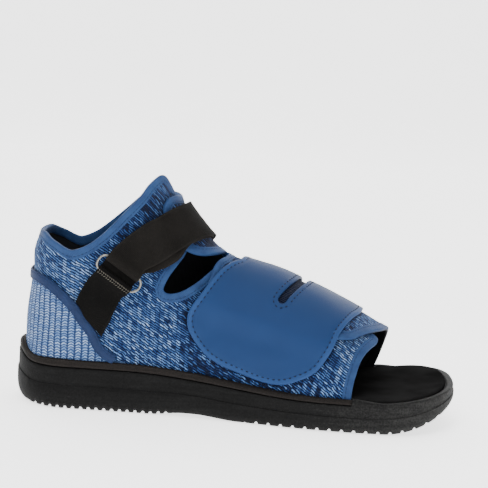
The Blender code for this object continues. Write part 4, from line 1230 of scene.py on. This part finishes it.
# %% The ring's place
WEBBING_WIDTH = 0.0250
WEBBING_THICKNESS = 0.0014
RING_WIRE = 0.0022
RING_OPENING = 0.0078
RING_BAR = RING_WIRE / 2 + GAP
EYE = RING_BAR + WEBBING_THICKNESS
CHORD_RISE = 0.0012
RING_REACH = (RING_OPENING + RING_WIRE) / 2
STRAP_EDGES = (
    (86.0, 9.95, 71.5, 7.55), (81.0, 10.02, 65.5, 7.66), (75.5, 10.11, 60.0, 7.55), (68.5, 10.15, 53.5, 7.32),
    (56.0, 10.10, 43.0, 7.06), (41.0, 9.90, 29.0, 6.68), (25.0, 9.58, 15.0, 6.30), (8.0, 9.10, 3.0, 6.02),
    (-12.0, 8.70, -14.0, 5.85), (-30.0, 8.60, -32.0, 5.90), (-50.0, 8.80, -50.0, 6.20), (-70.0, 9.00, -68.0, 6.60))
TAB_EDGES = ((90.5, 9.80, 74.5, 7.62), (93.5, 9.66, 78.5, 7.62), (98.3, 9.38, 85.5, 7.46), (101.8, 9.12, 92.0, 7.24))
RING_SHIFT = 0.0024
RING_DROP = 0.0008


def ring_frame():
    """Middle of the ring, and its directions along the bars, from the tab's bar to the strap's, and outward."""
    strap, tab = (bare(np.array([edges[0][:2], edges[0][2:]]), WALL + GAP + CHORD_RISE + EYE)
                  for edges in (STRAP_EDGES, TAB_EDGES))
    length = unit(strap[1] + tab[1] - strap[0] - tab[0])
    across = strap.mean(0) - tab.mean(0)
    across = unit(across - length * (across @ length))
    middle = (strap.mean(0) + tab.mean(0)) / 2 + across * RING_SHIFT + length * RING_DROP
    return middle, length, across, np.cross(length, across)


RING_CENTRE, RING_LENGTH, RING_ACROSS, RING_OUT = ring_frame()
print("ring sits", np.round((RING_CENTRE - ORIGIN) * 1000, 1), "mm from the origin")

# %% A folded band of webbing
BAND_SHARES = np.array([0, 0.012, 0.035, 0.07, *np.linspace(0.12, 0.88, 18), 0.93, 0.965, 0.988, 1.0])
SELVEDGE = np.array([0.55, 0.85, 1.0, 1.08, *np.ones(18), 1.08, 1.0, 0.85, 0.55])
BAND_STEP = 0.0016
UNDER_SHIFT = 0.0036
TAUT_LENGTH = 0.0120


def webbing_foot(around):
    return laid_foot(around, WALL + GAP, 42, 56)


def folded_band(name, node, edges, away, under_length, over_length, finish, bow=0.0):
    """A band that comes in along its lower layer, turns round a bar of the ring and goes back on top."""
    bar = RING_CENTRE + RING_ACROSS * away * RING_REACH
    table = np.array(edges, float)
    reach = reach_of(bare((table[:, :2] + table[:, 2:]) / 2, WALL))
    longest = reach[-1] - away * RING_SHIFT
    under_length, over_length = min(under_length, longest), min(over_length, longest)
    thickness = WEBBING_THICKNESS

    def slope(s):
        return (EYE - GAP / 2 - thickness) * (1 - smoothstep(0, 0.008, s))

    path = [(s, 0.0, s, thickness) for s in np.arange(under_length, 0.004, -BAND_STEP)]
    under_count = len(path)
    path += [(EYE * math.cos(angle), EYE + EYE * math.sin(angle), RING_BAR * math.cos(angle),
              EYE + RING_BAR * math.sin(angle)) for angle in np.radians(np.linspace(-90, -270, 25))]
    for s in (*np.linspace(0.0027, 0.008, 5), *np.arange(0.0096, over_length, BAND_STEP), over_length):
        base = thickness + GAP + slope(s) * 2
        path.append((s, base + thickness, s, base))

    def at(length, height, layer):
        offset = smoothstep(0.003, 0.010, length) * (1 - smoothstep(0.024, 0.042, length))
        shares = BAND_SHARES + layer * UNDER_SHIFT * offset / WEBBING_WIDTH
        taut = 1 - smoothstep(0.0015, TAUT_LENGTH, length)
        straight = (bar + RING_LENGTH * (shares[:, None] - 0.5) * WEBBING_WIDTH
                    + RING_ACROSS * away * length + RING_OUT * (height[:, None] - EYE))
        edge = smooth_rows(table, np.interp(max(length + away * RING_SHIFT, 0), reach, np.arange(len(table))))
        points = edge[:2] + (edge[2:] - edge[:2]) * shares[:, None]
        points[:, 0] -= bow * 4 * BAND_SHARES * (1 - BAND_SHARES) * np.clip(length / reach[-1], 0, 1) ** 3
        return straight * taut + bare(points, (webbing_foot(points[:, 0]) + height)[:, None]) * (1 - taut)

    rings, along = [], []
    for k, (outer_s, outer_h, inner_s, inner_h) in enumerate(path):
        centre, half = (outer_h + inner_h) / 2, (outer_h - inner_h) / 2
        layer = float(k < under_count and away > 0)
        outer = at(outer_s, centre + half * SELVEDGE, layer)
        inner = at(inner_s, centre - half * SELVEDGE, layer)
        along.append(along[-1] + np.linalg.norm(outer[12] - rings[-1][12]) if k else 0.0)
        rings.append(np.concatenate([outer, inner[::-1]]))
    across = np.r_[BAND_SHARES, BAND_SHARES[::-1]] * WEBBING_WIDTH
    piece(name, woven(loft(rings), along, across), finish, [node], sharp=75)


# %% [markdown]
# ### Webbing finish
# Hook-and-loop webbing looks almost black and drinks light; only its close weave and a little lint show. Across the
# band run fine ribs, and its two selvedges are woven tighter, so they read as a slightly lighter line.

# %% Webbing finish


def webbing_finish(name, dark, light, ribs):
    band = Finish(name, 0.88, 0.06)
    along, across = band.thread()
    rib = wave(along * (TURN / ribs))
    cord = wave(across * (TURN / 1.1))
    lint = band.noise(0.0007, 4.0)
    patch = band.noise(0.014, 3.0)
    selvedge = (abs(across / (WEBBING_WIDTH * 1000) - 0.5) * 2).math("GREATER_THAN", 0.93)
    band.shades(lint * 0.45 + patch * 0.35 + rib * 0.08 + selvedge * 0.14, 0.28, dark, 0.72, light)
    band.relief(rib * 0.35 + cord * 0.15 + lint * 0.5, 0.00035, 0.8)
    return band


strap_webbing = webbing_finish("strap_webbing", "0d0c0b", "1f1d1b", 0.9)
tab_webbing = webbing_finish("tab_webbing", "060606", "131211", 0.7)
folded_band("webbing_tab", "strap_tab", TAB_EDGES, -1, 1.0, 1.0, tab_webbing, bow=2.2)
folded_band("webbing_strap", "ankle_strap", STRAP_EDGES, 1, 1.0, 0.105, strap_webbing)

# %% [markdown]
# ### The tab's bar tack
# Two zigzag rows of grey thread hold the tab's fold. They cross the band at the ring, which is straight in space and
# not on the last's grid, so these stitches are laid out in the ring's own directions.

# %% Bar tack at the tab's fold
TACK_PITCH = 0.0016
TACK_WAY = (0.0010, 0.0008)
tab_bar = RING_CENTRE - RING_ACROSS * RING_REACH
tacks = []
for place in np.arange(0.0012, WEBBING_WIDTH - 0.0010, TACK_PITCH):
    for off, lean in ((0.0000, 1), (0.0017, -1)):
        start = (tab_bar + RING_LENGTH * (place - WEBBING_WIDTH / 2) - RING_ACROSS * off
                 + RING_OUT * (EYE - 0.00005 - 0.10 * off))
        way = RING_LENGTH * TACK_WAY[0] * lean - RING_ACROSS * TACK_WAY[1]
        beside = np.cross(unit(way), RING_OUT)
        tacks.append(loft([round_ring(start + way * share, radius, beside, RING_OUT, 6) for share, radius in zip(
            np.linspace(-0.5, 0.5, 4), (0.00010, 0.00021, 0.00021, 0.00010))]))
grey_thread = thread_finish("grey_thread", "45423d", "787469", grain=0.0006)
piece("tab_tack", joined(tacks), grey_thread, [], sharp=80)

# %% [markdown]
# ### Webbing behind the ring
# The ring's window, between the two folds, is dark on the real shoe. A short flat patch of dark webbing closes the
# window, since stretching one of the folded bands would spoil its bend.

# %% Patch of webbing under the ring
rings = []
for share in np.linspace(-1, 1, 9):
    middle = RING_CENTRE + RING_ACROSS * share * (RING_REACH - EYE + 0.0012)
    spots = middle + RING_LENGTH * (BAND_SHARES[:, None] - 0.5) * (WEBBING_WIDTH - 0.0010)
    rings.append(np.concatenate([spots - RING_OUT * (EYE + 0.0006), spots[::-1] - RING_OUT * (EYE - 0.0009)]))
vertices, faces = loft(rings)
thread = np.stack([vertices @ RING_ACROSS, vertices @ RING_LENGTH, np.zeros(len(vertices))], 1) * 1000
piece("ring_patch", (vertices, faces, {"thread": thread}), tab_webbing, [], sharp=75)

# %% [markdown]
# ## The ring
# The buckle is a loop of nickel-plated wire with two straight bars and round ends. A circle swept along that path
# gives a true round wire, and brushing shows as a fine stretched noise in its roughness.

# %% Ring
END_SHARE = 0.80
SEEN_WIRE = 0.0016
half = WEBBING_WIDTH / 2 - 2 * GAP
rings = []
for start, sign in ((90, 1), (-90, -1)):
    for angle in np.radians(np.linspace(start, start - 180, 25)):
        way = RING_LENGTH * math.cos(angle) + RING_ACROSS * math.sin(angle)
        spot = (RING_CENTRE + RING_LENGTH * (sign * half + END_SHARE * RING_REACH * math.cos(angle))
                + RING_ACROSS * RING_REACH * math.sin(angle))
        rings.append(round_ring(spot, SEEN_WIRE / 2, way, RING_OUT, 24))
nickel = Finish("nickel_wire", 0.28, 0.5, metallic=1.0)
scuff = nickel.noise(0.002, 3.0, (1, 1, 4))
nickel.shades(scuff, 0.3, "5d5b57", 0.7, "989690")
nickel.feed(nickel.shader.inputs["Roughness"], 0.20 + scuff * 0.2)
nickel.relief(scuff, 0.00005, 0.4)
piece("ring_wire", loft(rings, closed=True), nickel, ["strap_ring"], sharp=80)

# %% [markdown]
# ## Floor and light
# The photograph is cut out on white, with one soft shadow under the toe. A pale sweep that curves up behind the shoe
# gives the same calm ground without a horizon, and three large soft lights keep the shading of a product picture.

# %% Floor
SWEEP_DEPTH = 1.6
profile = [(-3.0, 0.0)] + [(SWEEP_DEPTH + math.sin(a) * 0.8, 0.8 - math.cos(a) * 0.8)
                           for a in np.linspace(0, math.pi / 2, 16)] + [(SWEEP_DEPTH + 0.8, 4.0)]
floor_mesh = bpy.data.meshes.new("floor")
floor_mesh.from_pydata([(x, y, z) for y, z in profile for x in (-5.0, 5.0)], [],
                       [(2 * k, 2 * k + 1, 2 * k + 3, 2 * k + 2) for k in range(len(profile) - 1)])
floor_mesh.shade_smooth()
floor = bpy.data.objects.new("floor", floor_mesh)
bpy.context.scene.collection.objects.link(floor)
paper = Finish("pale_paper", 0.9, emission_color=(1, 1, 1, 1), emission_strength=2.0)
paper.shades(paper.noise(0.25), 0.3, "f0f0f0", 0.7, "f5f5f5")
floor_mesh.materials.append(paper.material)

# %% Lights


def softbox(name, place, size, power, aim=(0.09, 0, 0.06)):
    lamp = bpy.data.lights.new(name, 'AREA')
    lamp.shape = 'RECTANGLE'
    lamp.size, lamp.size_y = size
    lamp.energy = power
    light = bpy.data.objects.new(name, lamp)
    bpy.context.scene.collection.objects.link(light)
    light.location = place
    light.rotation_euler = (Vector(place) - Vector(aim)).to_track_quat('Z', 'Y').to_euler()


softbox("key_light", (-0.5, -1.3, 1.5), (1.0, 0.8), 26)
softbox("top_light", (0.3, 0.1, 1.7), (1.6, 1.2), 20)
softbox("fill_light", (1.5, -1.2, 0.6), (1.0, 1.0), 8)
world = bpy.data.worlds.new("studio")
bpy.context.scene.world = world
world.use_nodes = True
world.node_tree.nodes["Background"].inputs[0].default_value = (1, 1, 1, 1)
world.node_tree.nodes["Background"].inputs[1].default_value = 0.45
